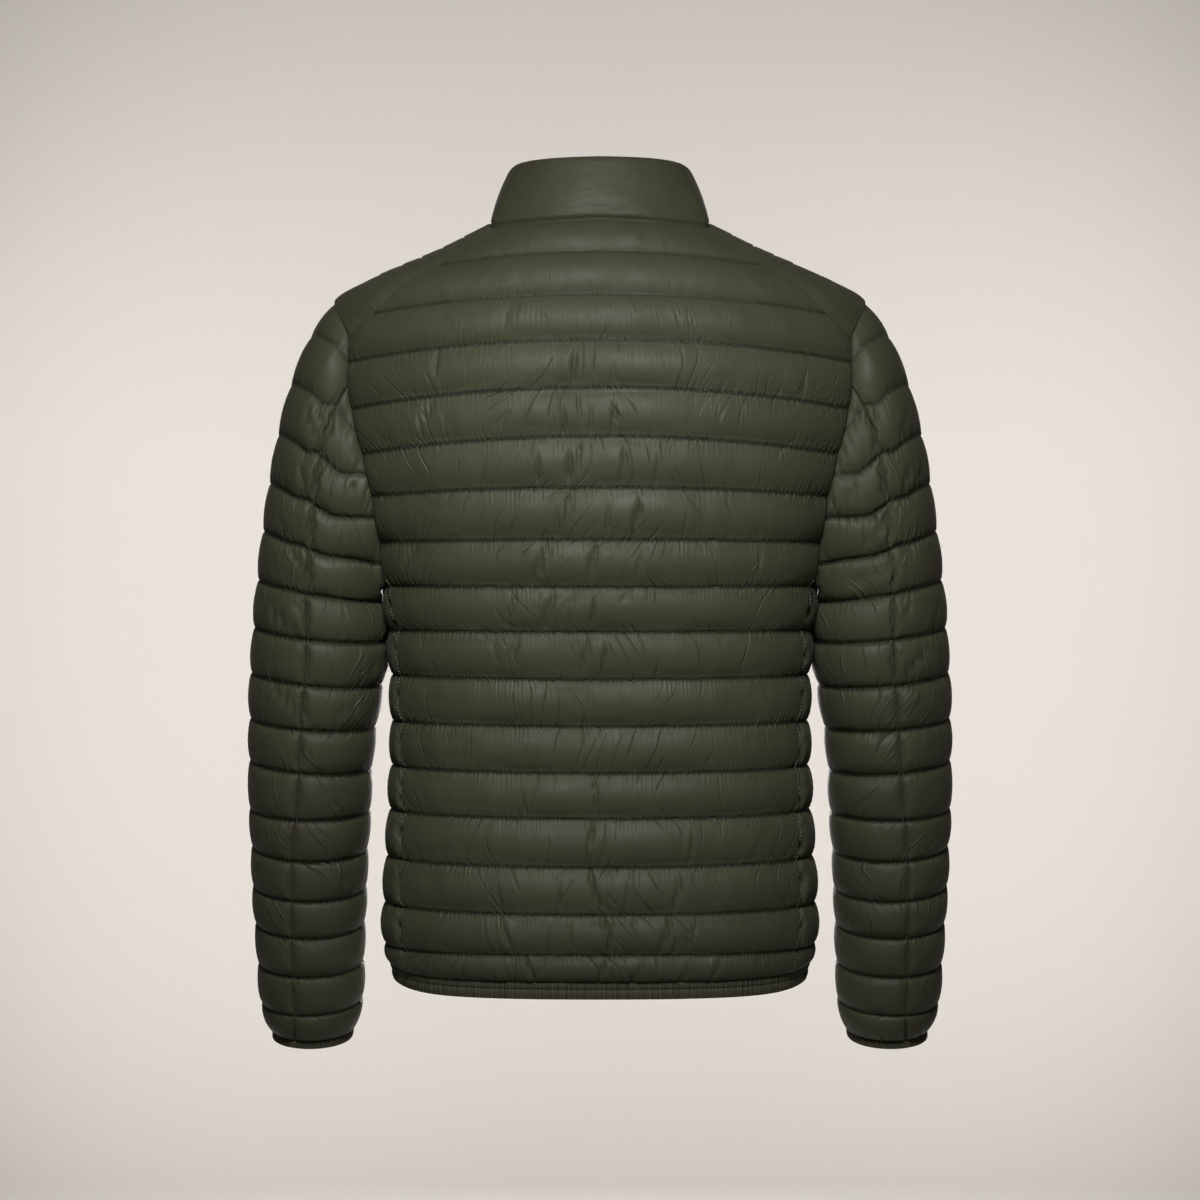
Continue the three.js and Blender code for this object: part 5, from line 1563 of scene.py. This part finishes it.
class JacketLooks(bpy.types.PropertyGroup):
    nylon: bpy.props.FloatVectorProperty(
        name="Nylon", description="Colour of the shell", subtype="COLOR",
        default=(0.045, 0.0455, 0.026), min=0, max=1,
    )
    nylon_roughness: bpy.props.FloatProperty(
        name="Nylon roughness", description="How matt the shell is", default=0.55, min=0, max=1
    )
    binding: bpy.props.FloatVectorProperty(
        name="Binding", description="Colour of the hem and cuff bands", subtype="COLOR",
        default=(0.05, 0.05, 0.03), min=0, max=1,
    )
    zip_tape: bpy.props.FloatVectorProperty(
        name="Zip tape", description="Colour of the zip tapes", subtype="COLOR",
        default=(0.03, 0.03, 0.024), min=0, max=1,
    )
    thread: bpy.props.FloatVectorProperty(
        name="Thread", description="Colour of the stitches", subtype="COLOR",
        default=(0.036, 0.036, 0.022), min=0, max=1,
    )
    seam_thread: bpy.props.FloatVectorProperty(
        name="Seam thread", description="Colour of the stitches along the seams", subtype="COLOR",
        default=(0.11, 0.11, 0.08), min=0, max=1,
    )
    metal: bpy.props.FloatVectorProperty(
        name="Metal", description="Colour of the zip's metal", subtype="COLOR",
        default=(0.05, 0.052, 0.048), min=0, max=1,
    )


class JacketStage(bpy.types.PropertyGroup):
    key: bpy.props.FloatProperty(
        name="Main light", description="Power of the large light", default=4.8, unit="POWER"
    )
    low: bpy.props.FloatProperty(
        name="Broad light", description="Power of the light from far behind", default=2.1,
        unit="POWER",
    )
    wall: bpy.props.FloatProperty(
        name="Wall lights", description="Power of each light on the wall", default=112,
        unit="POWER",
    )
    front: bpy.props.FloatProperty(
        name="Front light", description="Power of the light on the front", default=42, unit="POWER"
    )
    air: bpy.props.FloatProperty(
        name="Air", description="Strength of the even light all round", default=0.05, min=0
    )


class JACKET_OT_back(bpy.types.Operator):
    """Makes the back panel."""

    bl_idname = "jacket.back"
    bl_label = "Back panel"

    def execute(self, context):
        make_back()
        return {"FINISHED"}


class JACKET_OT_fronts(bpy.types.Operator):
    """Makes the left and the right front."""

    bl_idname = "jacket.fronts"
    bl_label = "Front panels"

    def execute(self, context):
        for name, sign in SIDES:
            make_front(name, sign)
        return {"FINISHED"}


class JACKET_OT_sleeves(bpy.types.Operator):
    """Makes both sleeves, each from a top and an under piece."""

    bl_idname = "jacket.sleeves"
    bl_label = "Sleeves"

    def execute(self, context):
        for name, sign in SIDES:
            make_sleeve(name, sign)
        return {"FINISHED"}


class JACKET_OT_collar(bpy.types.Operator):
    """Makes the padded stand collar."""

    bl_idname = "jacket.collar"
    bl_label = "Collar"

    def execute(self, context):
        make_collar()
        return {"FINISHED"}


class JACKET_OT_bands(bpy.types.Operator):
    """Makes the hem band and both cuff bands."""

    bl_idname = "jacket.bands"
    bl_label = "Hem and cuff bands"

    def execute(self, context):
        make_hem()
        for name, sign in SIDES:
            make_cuff(name, sign)
        return {"FINISHED"}


class JACKET_OT_zip(bpy.types.Operator):
    """Makes the zip's tapes and teeth and finishes its metal."""

    bl_idname = "jacket.zip"
    bl_label = "Zip"

    def execute(self, context):
        make_zip()
        return {"FINISHED"}


class JACKET_OT_stage(bpy.types.Operator):
    """Makes the pale sweep, the studio lights and the camera."""

    bl_idname = "jacket.stage"
    bl_label = "Studio"

    def execute(self, context):
        make_stage()
        return {"FINISHED"}


class JACKET_PT_sidebar(bpy.types.Panel):
    """Lists the steps that make the jacket, and their settings."""

    bl_label = "Puffer Jacket"
    bl_idname = "JACKET_PT_sidebar"
    bl_space_type = "VIEW_3D"
    bl_region_type = "UI"
    bl_category = "Jacket"

    def draw(self, context):
        for operator in OPERATORS:
            self.layout.operator(operator.bl_idname)
        for name, group in GROUPS.items():
            for setting in group.__annotations__:
                self.layout.prop(getattr(context.scene, name), setting)


OPERATORS = (
    JACKET_OT_back,
    JACKET_OT_fronts,
    JACKET_OT_sleeves,
    JACKET_OT_collar,
    JACKET_OT_bands,
    JACKET_OT_zip,
    JACKET_OT_stage,
)
GROUPS = {
    "jacket_cloth": JacketCloth,
    "jacket_looks": JacketLooks,
    "jacket_stage": JacketStage,
}


def register():
    for name, group in GROUPS.items():
        bpy.utils.register_class(group)
        setattr(bpy.types.Scene, name, bpy.props.PointerProperty(type=group))
    for made in (*OPERATORS, JACKET_PT_sidebar):
        bpy.utils.register_class(made)


def unregister():
    for made in (JACKET_PT_sidebar, *reversed(OPERATORS)):
        bpy.utils.unregister_class(made)
    for name, group in GROUPS.items():
        delattr(bpy.types.Scene, name)
        bpy.utils.unregister_class(group)


def main():
    register()
    for operator in OPERATORS:
        namespace, name = operator.bl_idname.split(".")
        getattr(getattr(bpy.ops, namespace), name)()
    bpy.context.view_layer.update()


if __name__ == "__main__":
    main()
